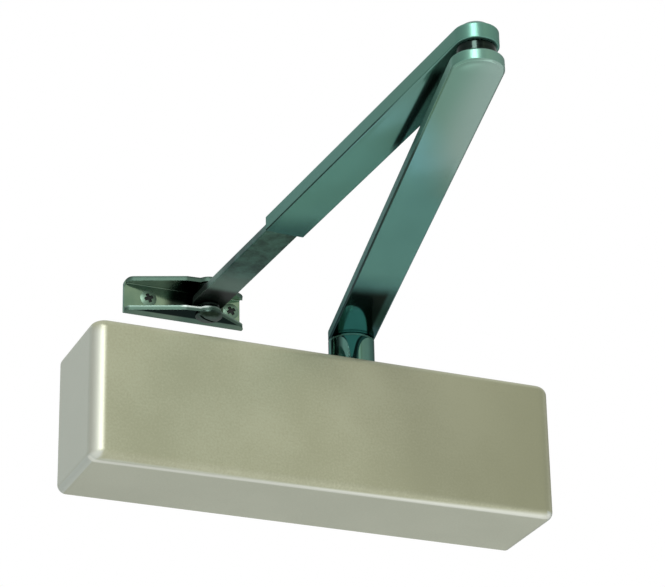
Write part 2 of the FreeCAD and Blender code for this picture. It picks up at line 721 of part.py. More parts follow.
def square_hole(name):
    side = "spindle_square + 2 * fit_clearance"
    return block(name + "_square", side, side, "arm_top", "spindle_x - (%s) / 2" % side,
                 "spindle_y - (%s) / 2" % side)


# Bar with round ends along +Y from a joint at its own origin, turned to its angle
def bar(name, width, length, base, thickness, edge):
    """A flat bar from -width/2 behind the joint to width/2 past its length, edges bevelled."""
    body = slab(name, rectangle("-%s / 2" % width, "%s / 2" % width, "-%s / 2" % width,
                                "%s + %s / 2" % (length, width)), thickness, base)
    round_edges(body, name + "_ends", "(%s - bar_end_flat) / 2" % width, upright)
    tip = body.Tip
    rims = ["Edge%d" % (i + 1) for i, item in enumerate(tip.Shape.Edges) if not upright(item)]
    bevel = body.newObject("PartDesign::Chamfer", name + "_bevel")
    bevel.Base = (tip, rims)
    bind(bevel, Size=edge)
    doc.recompute()
    return body


def main_arm():
    blade = bar("arm_blade", "arm_width", "arm_length", "arm_underside", "arm_thickness", "arm_bevel")
    place(blade, "elbow_x", "elbow_y", "0", "-arm_angle")
    tools = [square_hole("arm"),
             cylinder("arm_stud_hole", "stud_radius + press_clearance", "arm_thickness", "elbow_x",
                      "elbow_y", "arm_underside + stud_cover")]
    keep("main_arm", cut("arm_cut", blade, tools))
    keep("arm_washer", ring("washer_blank", "arm_screw_radius + fit_clearance", "arm_washer_radius",
                            "arm_top", "arm_top + arm_washer_thickness", "spindle_x", "spindle_y"))
    top = "arm_top + arm_washer_thickness"
    head = doc.addObject("Part::Prism", "arm_screw_hexagon")
    head.Polygon = 6
    bind(head, Circumradius="arm_screw_flats / sqrt(3)", Height="arm_screw_head")
    place(head, "spindle_x", "spindle_y", top)
    shank = cylinder("arm_screw_shank", "arm_screw_radius", "arm_screw_length + arm_washer_thickness",
                     "spindle_x", "spindle_y", "arm_top - arm_screw_length")
    keep("arm_screw", join("arm_screw_join", [head, shank]))


# Elbow: a headed stud pressed into the main arm, with a spacer under the forearm
def elbow():
    low = "arm_underside + stud_cover"
    top = "sleeve_base + sleeve_thickness + part_gap"
    profile = [("0", low), ("stud_radius", low), ("stud_radius", top), ("stud_head_radius", top),
               ("stud_head_radius", "%s + stud_head_height / 2" % top),
               ("stud_head_radius - stud_head_height / 2", "%s + stud_head_height" % top),
               ("0", "%s + stud_head_height" % top)]
    keep("elbow_stud", turned("stud_blank", profile, "elbow_x", "elbow_y"))
    keep("elbow_spacer", ring("spacer_blank", "stud_radius + fit_clearance", "spacer_radius",
                              "arm_top + fit_clearance", "sleeve_base - fit_clearance",
                              "elbow_x", "elbow_y"))


forearm_turn = "atan((elbow_x - pivot_x) / (elbow_y - pivot_y)) * (-1)"
forearm_reach = "sqrt((elbow_x - pivot_x) ^ 2 + (elbow_y - pivot_y) ^ 2)"


# Forearm: a bar broached from its square end, and the flat rod that slides in it
def forearm():
    body = slab("sleeve_blank", rectangle("-sleeve_width / 2", "sleeve_width / 2",
                                          "-sleeve_width / 2", "sleeve_length"),
                "sleeve_thickness", "sleeve_base")
    round_edges(body, "sleeve_end", "(sleeve_width - bar_end_flat) / 2",
                lambda edge: upright(edge) and edge.CenterOfMass.y < 0)
    round_edges(body, "sleeve_edges", "sleeve_edge",
                lambda edge: not upright(edge) and edge.CenterOfMass.y < value("sleeve_length") - 1)
    tools = [block("sleeve_slot", "rod_width + 2 * slide_clearance",
                   "sleeve_length - sleeve_solid_end + overrun", "rod_thickness + 2 * slide_clearance",
                   "-rod_width / 2 - slide_clearance", "sleeve_solid_end", "sleeve_base + sleeve_wall"),
             cylinder("sleeve_pivot_hole", "stud_radius + fit_clearance", "2 * sleeve_thickness", "0",
                      "0", "sleeve_base - sleeve_thickness / 2"),
             cylinder("clamp_hole", "clamp_radius + fit_clearance", "sleeve_thickness", "0",
                      "sleeve_length - clamp_setback", "rod_base + rod_thickness - slide_clearance")]
    keep("forearm_sleeve", place(cut("sleeve_cut", body, tools), "elbow_x", "elbow_y", "0", forearm_turn))
    low = "rod_base + rod_thickness + slide_clearance"
    top = "sleeve_base + sleeve_thickness"
    profile = [("0", low), ("clamp_radius", low), ("clamp_radius", top), ("clamp_head_radius", top),
               ("clamp_head_radius", "%s + clamp_head_height" % top), ("0", "%s + clamp_head_height" % top)]
    blank = turned("clamp_blank", profile, "0", "sleeve_length - clamp_setback")
    drive = doc.addObject("Part::Prism", "clamp_drive")
    drive.Polygon = 6
    bind(drive, Circumradius="clamp_head_radius / 2", Height="clamp_head_height")
    place(drive, "0", "sleeve_length - clamp_setback", "%s + clamp_head_height / 3" % top)
    keep("clamp_screw", place(cut("clamp_cut", blank, [drive]), "elbow_x", "elbow_y", "0", forearm_turn))


def adjusting_rod():
    body = slab("rod_blank", rectangle("-rod_width / 2", "rod_width / 2",
                                       "sleeve_length - rod_overlap", "%s + rod_width / 2" % forearm_reach),
                "rod_thickness", "rod_base")
    far = value("sleeve_length")
    round_edges(body, "rod_end", "(rod_width - bar_end_flat) / 2",
                lambda edge: upright(edge) and edge.CenterOfMass.y > far)
    round_edges(body, "rod_edges", "rod_edge", lambda edge: not upright(edge))
    hole = cylinder("rod_hole", "pin_radius + fit_clearance", "3 * rod_thickness", "0", forearm_reach,
                    "rod_base - rod_thickness")
    keep("adjusting_rod", place(cut("rod_cut", body, [hole]), "elbow_x", "elbow_y", "0", forearm_turn))


# Bracket: a folded channel whose flanges reach round the pivot
def bracket():
    low = "rod_base - rod_above_flange - bracket_sheet"
    outline = [("-bracket_left", "bracket_standoff"), ("-bracket_left", "flange_left_edge"),
               ("-flange_shoulder", "-flange_shoulder_depth"),
               ("flange_shoulder_depth", "-flange_shoulder_depth - flange_shoulder_step"),
               ("bracket_right", "flange_right_edge"), ("bracket_right", "bracket_standoff")]
    pieces = []
    for name, base in (("lower", low), ("upper", "%s + bracket_height - bracket_sheet" % low)):
        flange = slab(name + "_flange", outline, "bracket_sheet", base)
        round_edges(flange, name + "_flange_ends", "bracket_bend",
                    lambda edge: upright(edge) and edge.CenterOfMass.y > 1 and
                    edge.CenterOfMass.y < value("bracket_standoff") - 1)
        pieces.append(flange)
        pieces.append(cylinder(name + "_flange_nose", "flange_nose", "bracket_sheet", "0", "0", base))
    plate = block("bracket_plate", "bracket_left + bracket_right - bracket_plate_inset", "bracket_sheet",
                  "bracket_height", "-bracket_left", "bracket_standoff - bracket_sheet", low)
    pieces.append(plate)
    blank = join("bracket_blank", pieces)
    middle = "%s + bracket_height / 2" % low
    tools = [cylinder("bracket_pin_holes", "pin_radius + press_clearance", "2 * bracket_height", "0", "0",
                      "%s - bracket_height / 2" % low)]
    screws = []
    for name, x in (("left", "-bracket_screw_left"), ("right", "bracket_screw_right")):
        tools.append(cylinder("bracket_hole_" + name, "bracket_screw_radius + fit_clearance",
                              "3 * bracket_sheet", x, "bracket_standoff - 2 * bracket_sheet", middle, "y"))
        sink = doc.addObject("Part::Cone", "bracket_sink_" + name)
        bind(sink, Radius1="bracket_screw_head + fit_clearance",
             Radius2="bracket_screw_radius + fit_clearance", Height="bracket_screw_head_height")
        place(sink, x, "bracket_standoff - bracket_sheet", middle, "-90", "1;0;0")
        tools.append(sink)
        profile = [("0", "0"), ("bracket_screw_head", "0"),
                   ("bracket_screw_radius", "bracket_screw_head_height"),
                   ("bracket_screw_radius", "bracket_sheet"),
                   ("bracket_thread_radius", "bracket_sheet"),
                   ("bracket_thread_radius",
                    "bracket_sheet + bracket_screw_reach - bracket_screw_point"),
                   ("0", "bracket_sheet + bracket_screw_reach")]
        blank_screw = turned("bracket_screw_" + name, profile, x, "bracket_standoff - bracket_sheet",
                             middle, "y")
        cross = [block("cross_%s_%d" % (name, n), wide, "2 * cross_depth", tall, "%s - %s / 2" % (x, wide),
                       "bracket_standoff - bracket_sheet - cross_depth", "%s - %s / 2" % (middle, tall))
                 for n, (wide, tall) in enumerate((("cross_width", "2 * cross_reach"),
                                                   ("2 * cross_reach", "cross_width")))]
        screws.append(cut("bracket_screw_cut_" + name, blank_screw, cross))
    keep("bracket", place(cut("bracket_cut", blank, tools), "pivot_x", "pivot_y", "0"))
    group = doc.addObject("Part::Compound", "bracket_screw_group")
    group.Links = screws
    keep("bracket_screws", place(group, "pivot_x", "pivot_y", "0"))


# Turns in degrees along a quarter of an oval dome, from its top to its rim
dome_turns = (0, 22.5, 45, 67.5, 90)


# Pivot: a slotted domed pin peened over the upper flange, with a bush each side of the rod
def pivot():
    low = "rod_base - rod_above_flange - bracket_sheet"
    top = "%s + bracket_height" % low
    head = [("pin_head_radius * sin(%s)" % turn, "%s - pin_head_height * cos(%s)" % (low, turn))
            for turn in dome_turns]
    rivet = [("pin_rivet_radius * cos(%s)" % turn, "%s + pin_rivet_height * sin(%s)" % (top, turn))
             for turn in dome_turns]
    profile = head + [("pin_radius", low), ("pin_radius", top)] + rivet
    blank = turned("pin_blank", profile)
    slot = block("pin_slot", "2 * pin_head_radius", "driver_slot", "driver_slot", "-pin_head_radius",
                 "-driver_slot / 2", "%s - pin_head_height" % low)
    keep("pivot_pin", place(cut("pin_cut", blank, [slot]), "pivot_x", "pivot_y", "0"))
    inner = "pin_radius + press_clearance"
    bushes = [ring("lower_bush", inner, "bush_radius", "%s + bracket_sheet + press_clearance" % low,
                   "rod_base - fit_clearance"),
              ring("upper_bush", inner, "bush_radius", "rod_base + rod_thickness + fit_clearance",
                   "%s - bracket_sheet - press_clearance" % top)]
    group = doc.addObject("Part::Compound", "pivot_bush_group")
    group.Links = bushes
    keep("pivot_bushes", place(group, "pivot_x", "pivot_y", "0"))


for build in (mounting_plate, body_casting, end_caps, bearing_plugs, pinion, piston, closing_spring,
              power_adjuster, speed_valves, body_screws, cover, arm_hub, main_arm, elbow, forearm,
              adjusting_rod, bracket, pivot):
    build()
doc.recompute()

faults = [item.Name for item in doc.Objects if {"Invalid", "Error"} & set(item.State)]
for item in kept:
    if item.Shape.isNull() or not item.Shape.isValid() or not item.Shape.Solids:
        faults.append(item.Label)
if faults:
    raise SystemExit("failed: " + ", ".join(faults))

os.makedirs("parts", exist_ok=True)
for item in kept:
    item.Shape.exportStep("parts/%s.step" % item.Label)
    print("%-22s solids %d volume %.1f mm3" % (item.Label, len(item.Shape.Solids), item.Shape.Volume))
print("%d parts written" % len(kept))
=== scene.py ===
import json
import math
import bmesh
import bpy
import numpy as np
from mathutils import Matrix, Vector


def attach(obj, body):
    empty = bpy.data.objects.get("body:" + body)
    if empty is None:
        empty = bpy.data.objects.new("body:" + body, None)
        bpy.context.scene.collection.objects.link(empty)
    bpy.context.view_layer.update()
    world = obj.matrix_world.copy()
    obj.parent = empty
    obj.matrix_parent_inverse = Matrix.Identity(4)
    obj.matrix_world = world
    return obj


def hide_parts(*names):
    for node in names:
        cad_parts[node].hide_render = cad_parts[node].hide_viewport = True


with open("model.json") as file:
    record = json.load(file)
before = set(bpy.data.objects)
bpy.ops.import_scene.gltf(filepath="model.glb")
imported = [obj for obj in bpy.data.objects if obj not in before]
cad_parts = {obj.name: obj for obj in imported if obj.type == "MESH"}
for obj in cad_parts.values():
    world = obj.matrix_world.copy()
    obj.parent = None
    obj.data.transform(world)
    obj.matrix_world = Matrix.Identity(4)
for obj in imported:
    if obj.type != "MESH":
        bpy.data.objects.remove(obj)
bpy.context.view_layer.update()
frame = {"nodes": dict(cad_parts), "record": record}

mm = 0.001
white = (1, 1, 1, 1)
join = np.concatenate
nodes = frame["nodes"]
scene = bpy.context.scene
print("frame loaded,", len(nodes), "nodes")


# camera, at the photograph's angle
cameraView = {
    "position": (-496.2, -1213.7, -519.25),
    "forward": (0.3578, 0.8326, 0.4228),
    "roll": -1.11,
    "lens": 147.54,
    "sensor": 36, "near": 0.05, "far": 50,
}
forward = Vector(cameraView["forward"]).normalized()
level = forward.cross(Vector((0, 0, 1))).normalized()
above = level.cross(forward)
roll = math.radians(cameraView["roll"])
right = level * math.cos(roll) + above * math.sin(roll)
up = above * math.cos(roll) - level * math.sin(roll)
cameraData = bpy.data.cameras.new("camera")
cameraData.sensor_width = cameraView["sensor"]
cameraData.lens = cameraView["lens"]
cameraData.clip_start = cameraView["near"]
cameraData.clip_end = cameraView["far"]
camera = bpy.data.objects.new("camera", cameraData)
scene.collection.objects.link(camera)
turn = Matrix((right, up, -forward)).transposed().to_4x4()
camera.matrix_world = Matrix.Translation(Vector(cameraView["position"]) * mm) @ turn
scene.camera = camera
scene.view_settings.view_transform = "Standard"
print("camera set")


# shader graphs: a Wire is a socket that can stand in a sum
class Wire:
    def __init__(self, graph, socket):
        self.graph = graph
        self.socket = socket

    def math(self, operation, first, second):
        return self.graph.node("Math", {"operation": operation}, {0: first, 1: second})

    def __add__(self, other):
        return self.math("ADD", self, other)

    __radd__ = __add__

    def __sub__(self, other):
        return self.math("SUBTRACT", self, other)

    def __rsub__(self, other):
        return self.math("SUBTRACT", other, self)

    def __mul__(self, other):
        return self.math("MULTIPLY", self, other)

    __rmul__ = __mul__

    def __truediv__(self, other):
        return self.math("DIVIDE", self, other)


class Graph:
    def __init__(self, tree):
        self.tree = tree
        tree.nodes.clear()

    # any node: its type, its settings (set first), then the values or links of its sockets
    def node(self, kind, settings=None, sockets=None, output=0):
        made = self.tree.nodes.new("ShaderNode" + kind)
        for key, setting in (settings or {}).items():
            if key == "stops":
                elements = made.color_ramp.elements
                while len(elements) < len(setting):
                    elements.new(0.5)
                for element, (position, colour) in zip(elements, setting):
                    element.position = position
                    element.color = (*colour, 1)
            else:
                setattr(made, key, setting)
        for key, value in (sockets or {}).items():
            if isinstance(value, Wire):
                self.tree.links.new(value.socket, made.inputs[key])
            else:
                made.inputs[key].default_value = value
        return Wire(self, made.outputs[output]) if made.outputs else None

    def part(self, vector, name):
        return self.node("SeparateXYZ", None, {0: vector}, "XYZ".index(name))

    # a point's place along an axis, and how far the surface faces along it, from -1 to 1
    def axis(self, name):
        return self.part(self.node("TexCoord", output=3), name)

    def facing(self, name):
        return self.part(self.node("NewGeometry", output=1), name)

    # a value without its sign, and the lesser and the greater of two
    def size(self, value):
        return self.node("Math", {"operation": "ABSOLUTE"}, {0: value})

    def least(self, first, second):
        return first.math("MINIMUM", first, second)

    def most(self, first, second):
        return first.math("MAXIMUM", first, second)

    # noise over the object's own coordinates; stretch squeezes it along each axis
    def noise(self, scale, detail=3.0, stretch=(1, 1, 1), roughness=0.5):
        place = self.node("TexCoord", output=3)
        mapped = self.node("Mapping", None, {"Vector": place, "Scale": stretch})
        return self.node("TexNoise", None,
                         {"Vector": mapped, "Scale": scale, "Detail": detail, "Roughness": roughness})

    def blend(self, factor, low, high):
        return self.node("Mix", {"data_type": "RGBA"}, {0: factor, 6: low, 7: high}, 2)

    # between two named tones, a named tone over a colour, and two tones by a noise
    def tint(self, factor, low, high):
        return self.blend(factor, tone[low], tone[high])

    def coat(self, factor, under, name):
        return self.blend(factor, under, tone[name])

    def mottle(self, cloud, low, high, start=0.3):
        return self.tint(self.smooth(cloud, start, 1 - start), low, high)

    # an eased step up from 0 to 1, one down from 1 to 0, and one of each
    def smooth(self, value, low, high):
        return self.node("MapRange", {"interpolation_type": "SMOOTHSTEP"},
                         {"Value": value, "From Min": low, "From Max": high})

    def fall(self, value, low, high):
        return 1 - self.smooth(value, low, high)

    def span(self, value, rise, fall):
        return self.smooth(value, *rise) * self.fall(value, *fall)

    def bump(self, height, distance, strength):
        return self.node("Bump", None, {"Height": height, "Distance": distance, "Strength": strength})

    def mixShaders(self, factor, first, second):
        return self.node("MixShader", None, {0: factor, 1: first, 2: second})

    def surface(self, colour, metallic, roughness, normal=None, tint=white):
        sockets = {"Base Color": colour, "Metallic": metallic, "Roughness": roughness,
                   "Specular Tint": tint}
        if normal:
            sockets["Normal"] = normal
        shader = self.node("BsdfPrincipled", None, sockets)
        self.node("OutputMaterial", None, {"Surface": shader})


# a material made by a function that fills its graph, under its name or another
def finish(fill, name=None):
    material = bpy.data.materials.new(name or fill.__name__)
    material.use_nodes = True
    fill(Graph(material.node_tree))
    return material


# a screen colour as the linear values that shaders take
def plain(*levels):
    return tuple((c / 255 / 12.92) if c <= 10 else ((c / 255 + 0.055) / 1.055) ** 2.4 for c in levels)


# faces of a grid, numbered from first; a closed direction joins its ends
def gridFaces(rows, columns, first=0, closedRows=False, closedColumns=False):
    r = np.arange(rows if closedRows else rows - 1)
    c = np.arange(columns if closedColumns else columns - 1)
    r, c = (a.ravel() for a in np.meshgrid(r, c, indexing="ij"))
    below, beside = (r + 1) % rows, (c + 1) % columns
    return first + np.stack([r * columns + c, below * columns + c,
                             below * columns + beside, r * columns + beside], axis=1)


# welding distance of seams and length of edges that are dropped, in metres
seam = {"weld": 2e-6, "sliver": 1e-7}


# one mesh from several (grid, closedRows, closedColumns) patches, in millimetres, merged at their seams;
# it may get a wall inwards and rounded edges
def pieceOf(name, patches, sharp=35, wall=0, rounding=0, segments=2):
    points, faces, first = [], [], 0
    for patch, closedRows, closedColumns in patches:
        rows, columns = patch.shape[:2]
        points.append(patch.reshape(-1, 3))
        faces.append(gridFaces(rows, columns, first, closedRows, closedColumns))
        first += rows * columns
    points = join(points) * mm
    faces = join(faces)
    mesh = bpy.data.meshes.new(name)
    mesh.from_pydata(points.tolist(), [], faces.tolist())
    work = bmesh.new()
    work.from_mesh(mesh)
    bmesh.ops.remove_doubles(work, verts=work.verts, dist=seam["weld"])
    bmesh.ops.dissolve_degenerate(work, edges=work.edges, dist=seam["sliver"])
    bmesh.ops.recalc_face_normals(work, faces=work.faces)
    work.to_mesh(mesh)
    work.free()
    mesh.shade_smooth()
    mesh.set_sharp_from_angle(angle=math.radians(sharp))
    piece = bpy.data.objects.new(name, mesh)
    scene.collection.objects.link(piece)
    if wall:
        solid = piece.modifiers.new("wall", "SOLIDIFY")
        solid.thickness = wall * mm
        solid.offset = -1
    if rounding:
        bevel = piece.modifiers.new("edges", "BEVEL")
        bevel.width = rounding * mm
        bevel.segments = segments
        bevel.limit_method = "ANGLE"
        bevel.angle_limit = math.radians(50)
    weighted = piece.modifiers.new("weighted", "WEIGHTED_NORMAL")
    weighted.keep_sharp = True
    return piece


# an arc of points about a centre, from one angle to another, in degrees
def arc(x, y, radius, start, end, count):
    a = np.radians(np.linspace(start, end, count))
    return np.stack([x + radius * np.cos(a), y + radius * np.sin(a)], axis=1)


# half the chord of a circle at a distance from its middle
def chord(radius, distance):
    return np.sqrt(np.maximum(radius ** 2 - distance ** 2, 0))


# a (radius, height) profile swept round a vertical axis; a factor of the angle may stretch the radius
def turnedGrid(profile, x, y, count=96, factor=None):
    angle = np.linspace(0, 2 * np.pi, count, endpoint=False)
    radius = np.asarray(profile)[:, 0:1] * np.ones((1, count))
    if factor:
        radius = radius * factor(angle)
    height = np.asarray(profile)[:, 1:2] * np.ones((1, count))
    return np.stack([x + radius * np.cos(angle), y + radius * np.sin(angle), height], axis=2)


# the corners of a profile, rounded so that polished edges catch the light:
# point(t) = (1 - t)^2 * enter + 2 t (1 - t) * corner + t^2 * leave
def softProfile(corners, radius, steps=5):
    corners = np.asarray(corners, float)
    before, here, after = corners[:-2], corners[1:-1], corners[2:]
    back = before - here
    on = after - here
    backLength = np.linalg.norm(back, axis=1, keepdims=True)
    onLength = np.linalg.norm(on, axis=1, keepdims=True)
    reach = np.minimum(radius, 0.45 * np.minimum(backLength, onLength))
    enter = here + back / backLength * reach
    leave = here + on / onLength * reach
    t = np.linspace(0, 1, steps)[None, :, None]
    curve = enter[:, None] * (1 - t) ** 2 + 2 * here[:, None] * t * (1 - t) + leave[:, None] * t ** 2
    return join([corners[:1], curve.reshape(-1, 2), corners[-1:]])


# frames of the arms: a point s along and t across from the elbow
spindle = np.array([24.7, -25.0])
elbow = np.array([-35.42, -303.07])
pivot = np.array([-50.1, -13.4])


def armFrame(start, end):
    along = (end - start) / np.linalg.norm(end - start)
    across = np.array([along[1], -along[0]])
    return along, across


# cover: a shell whose wall profile is carried round the front, with lids ruled to the back
cover = {
    "halfLength": 125.0, "depth": 54.5, "back": -0.3, "halfHeight": 36.75, "bend": 8.0, "edge": 4.5,
    "wall": 1.2, "notch": 13.0, "bendSteps": 18, "edgeSteps": 12, "sideSteps": 12, "frontSteps": 40,
    "notchSteps": 40, "wallSteps": 16, "rounding": 0.25,
}


# plan path of the front and sides at an inset: x and y runs that all insets share
def coverPath(inset):
    c = cover
    x0, y0 = c["halfLength"] - c["bend"], -c["depth"] + c["bend"]
    radius = c["bend"] - inset
    sideRear = np.linspace(c["back"], spindle[1], c["sideSteps"])
    sideFront = np.linspace(spindle[1], y0, c["sideSteps"])[1:]
    side = join([sideRear, sideFront])
    left = np.stack([np.full(side.size, -x0 - radius), side], axis=1)
    leftBend = arc(-x0, y0, radius, 180, 270, c["bendSteps"])[1:]
    a, b = spindle[0] - c["notch"], spindle[0] + c["notch"]
    half = np.linspace(-1, 1, c["notchSteps"])
    run = join([np.linspace(-x0, a, c["frontSteps"])[1:],
                (spindle[0] + c["notch"] * np.sin(half * np.pi / 2))[1:],
                np.linspace(b, x0, c["frontSteps"])[1:]])
    front = np.stack([run, np.full(run.size, y0 - radius)], axis=1)
    rightBend = arc(x0, y0, radius, 270, 360, c["bendSteps"])[1:]
    rightSide = (left * (-1, 1))[::-1][1:]
    return join([left, leftBend, front, rightBend, rightSide])


def buildCover():
    c = cover
    turn = np.linspace(0, np.pi / 2, c["edgeSteps"])
    inset = c["edge"] * (1 - np.sin(turn))
    rise = c["halfHeight"] - c["edge"] * (1 - np.cos(turn))
    wall = np.linspace(-rise[-1], rise[-1], c["wallSteps"])[1:-1]
    insets = join([inset, np.zeros(wall.size), inset[::-1]])
    heights = join([-rise, wall, rise[::-1]])
    skin = np.stack([np.column_stack([coverPath(i), np.full(len(coverPath(0)), z)])
                     for i, z in zip(insets, heights)])
    rim = coverPath(c["edge"])
    corner = 2 * c["sideSteps"] - 2               # path index where the left bend starts
    run = rim[corner:len(rim) - corner]           # bend, front, bend: one column of the lid each
    inNotch = np.abs(run[:, 0] - spindle[0]) < c["notch"] + 1e-6
    firstIn = np.argmax(inNotch)
    lastIn = len(run) - 1 - np.argmax(inNotch[::-1])

    def lid(x, front, back, z):
        t = np.linspace(0, 1, c["sideSteps"])[:, None] * np.ones((1, x.size))
        return np.stack([x * np.ones(t.shape), front + (back - front) * t, np.full(t.shape, z)], axis=2)

    notched = spindle[1] - chord(c["notch"], run[:, 0] - spindle[0]) * inNotch
    lids = []
    for z, middle, spans in ((c["halfHeight"], notched, ((0, firstIn + 1), (lastIn, len(run)))),
                             (-c["halfHeight"], spindle[1], ((0, len(run)),))):
        lids.append((lid(run[:, 0], run[:, 1], middle, z), False, False))
        for start, end in spans:
            lids.append((lid(run[start:end, 0], spindle[1], c["back"], z), False, False))
    return pieceOf("coverShell", [(skin, False, False)] + lids, wall=c["wall"], rounding=c["rounding"])


coverShell = buildCover()
print("cover made")


# bars: an outline round a centre line, and a profile of (inset, height) carried along it
# point(u, v) = centre(u) + outward(u) * (halfWidth - inset(v)), at height(v)
def barGrid(start, end, halfWidth, profile, square=None, runSteps=30, endSteps=36):
    along, across = armFrame(start, end)
    length = np.linalg.norm(end - start)
    last = length if square is None else square
    s = np.linspace(0, last, runSteps)
    near = np.radians(np.linspace(180, 360, endSteps))
    far = np.radians(np.linspace(0, 180, endSteps))
    if square is None:
        centre = join([np.full(endSteps, 0.0), s[1:-1], np.full(endSteps, length), s[::-1][1:-1]])
        a = join([near, np.zeros(runSteps - 2), far, np.full(runSteps - 2, np.pi)])
    else:
        centre = join([s[::-1][:-1], np.full(endSteps, 0.0), s[1:]])
        a = join([np.full(runSteps - 1, np.pi), near, np.full(runSteps - 1, 0.0)])
    outS, outT = np.sin(a), np.cos(a)
    profile = np.asarray(profile)
    reach = halfWidth - profile[:, 0]
    s2 = centre[None, :] + outS[None, :] * reach[:, None]
    t2 = outT[None, :] * reach[:, None]
    flat = start + s2[..., None] * along + t2[..., None] * across
    z = np.broadcast_to(profile[:, 1:2], s2.shape)
    return join([flat, z[..., None]], axis=2)


# a bar's closed section from its profile: places across, and heights
def barSection(halfWidth, profile):
    reach = halfWidth - profile[:, 0]
    return join([-reach, reach[::-1]]), join([profile[:, 1], profile[::-1, 1]])


# main arm: round-ended bar with a slightly crowned underside and chamfered edges
mainArm = {"halfWidth": 12.0, "low": 58.4, "high": 64.8, "bevel": 0.8, "crown": 0.22, "crownEnd": 3.0,
           "rim": 2.5, "soft": 0.25}


# the underside from its middle out to an inset: height(i) = low + crown * ((half - i) / (half - edge))^2
def crowned(halfWidth, low, crown, edge, count=9):
    inset = np.linspace(halfWidth, edge, count)
    return np.stack([inset, low + crown * ((halfWidth - inset) / (halfWidth - edge)) ** 2], axis=1)


def buildMainArm():
    m = mainArm
    low, high, bevel = m["low"] + m["crown"], m["high"], m["bevel"]
    edge = softProfile([(m["rim"], low), (bevel, low), (0, low + bevel), (0, high - bevel),
                        (bevel, high), (m["rim"], high)], m["soft"])
    profile = join([crowned(m["halfWidth"], m["low"], m["crown"], m["crownEnd"]), edge,
                    [(m["halfWidth"], high)]])
    grid = barGrid(elbow, spindle, m["halfWidth"], profile)
    return pieceOf("mainArm", [(grid, False, True)])


mainArmPiece = buildMainArm()


# forearm sleeve: a U-shaped bar whose square end opens into a flat tunnel
sleeve = {"halfWidth": 10.2, "low": 70.6, "high": 78.4, "edge": 0.8, "crown": 0.16, "crownEnd": 2.9,
          "rim": 2.4, "length": 196.7, "break": 0.35, "tunnelHalf": 8.45, "tunnelLow": 72.4,
          "tunnelHigh": 76.6, "tunnelEnd": 28.0}


def buildSleeve():
    v = sleeve
    low, high, rim = v["low"], v["high"], v["rim"]
    under = low + v["crown"]
    edge = softProfile([(rim, under), (0, under), (0, high), (rim, high)], v["edge"], 8)
    profile = join([crowned(v["halfWidth"], low, v["crown"], v["crownEnd"]), edge,
                    [(v["halfWidth"], high)]])
    skin = barGrid(elbow, pivot, v["halfWidth"], profile, square=v["length"] - v["break"])
    along, across = armFrame(elbow, pivot)
    t, z = barSection(v["halfWidth"], profile)
    middle, half = (low + high) / 2, (high - low) / 2
    innerT = t * (1 - v["break"] / v["halfWidth"])
    innerZ = middle + (z - middle) * (1 - v["break"] / half)
    mouthT = np.clip(t, -v["tunnelHalf"], v["tunnelHalf"])
    mouthZ = np.clip(z, v["tunnelLow"], v["tunnelHigh"])
    rings = [(t, z, v["length"] - v["break"]), (innerT, innerZ, v["length"]),
             (mouthT, mouthZ, v["length"]), (mouthT, mouthZ, (v["length"] + v["tunnelEnd"]) / 2),
             (mouthT, mouthZ, v["tunnelEnd"]),
             (np.zeros(t.size), np.full(t.size, middle), v["tunnelEnd"])]
    grid = np.stack([join([elbow + s * along + a[:, None] * across, b[:, None]], axis=1)
                     for a, b, s in rings])
    return pieceOf("forearmSleeve", [(skin, False, False), (grid, False, True)])


sleevePiece = buildSleeve()


# adjusting rod: the flat bar that slides in the sleeve, round at the pivot
rod = {"halfWidth": 8.35, "low": 72.5, "high": 76.5, "edge": 0.6, "rim": 2.0, "inner": 99.7}


def buildRod():
    r = rod
    low, high, rim = r["low"], r["high"], r["rim"]
    edge = softProfile([(rim, low), (0, low), (0, high), (rim, high)], r["edge"], 6)
    profile = join([[(r["halfWidth"], low)], edge, [(r["halfWidth"], high)]])
    reach = np.linalg.norm(pivot - elbow) - r["inner"]
    skin = barGrid(pivot, elbow, r["halfWidth"], profile, square=reach)
    along, across = armFrame(pivot, elbow)
    t, z = barSection(r["halfWidth"], profile)
    end = pivot + reach * along
    outline = join([end + t[:, None] * across, z[:, None]], axis=1)
    middle = np.array([*end, (low + high) / 2]) * np.ones((t.size, 1))
    cap = np.stack([outline, middle])
    return pieceOf("adjustingRod", [(skin, False, False), (cap, False, True)])


rodPiece = buildRod()
print("arms made")


# turned pieces; a profile is closed where it keeps off the axis
def turnedPiece(name, profiles, x, y, count=96):
    return pieceOf(name, [(turnedGrid(profile, x, y, count), bool(profile[0][0] > 0), True)
                          for profile in profiles])


# half outline of a ring with chamfered edges, and what lies between them
def ringOutline(inner, radius, low, high, edges, *between):
    lowEdge, highEdge = edges
    return [(inner, low), (radius - lowEdge, low), (radius, low + lowEdge), *between,
            (radius, high - highEdge), (radius - highEdge, high), (inner, high)]


# hub: a groove runs round it below its upper edge
hub = {"radius": 12.0, "inner": 6.0, "low": 32.9, "high": 58.4, "edges": (0.8, 0.3), "groove": 0.35,
       "grooveRows": (56.9, 57.05, 57.35, 57.5), "soft": 0.12}


def buildHub():
    h = hub
    r, floor = h["radius"], h["radius"] - h["groove"]
    outline = ringOutline(h["inner"], r, h["low"], h["high"], h["edges"],
                          *zip((r, floor, floor, r), h["grooveRows"]))
    return turnedPiece("armHub", [softProfile(outline, h["soft"], 4)], *spindle, count=144)


hubPiece = buildHub()

# elbow: the spacer between the arms, and the stud with its sloped head on top
elbowFit = {"spacer": 8.8, "inner": 5.1, "spacerLow": 64.85, "spacerHigh": 70.55, "edges": (0.5, 0.5),
            "soft": 0.2, "shank": 5.0, "low": 59.6, "head": 7.5, "headLow": 78.7, "headEdge": 79.8,
            "headHigh": 81.1, "slope": 1.3, "headSoft": 0.35}


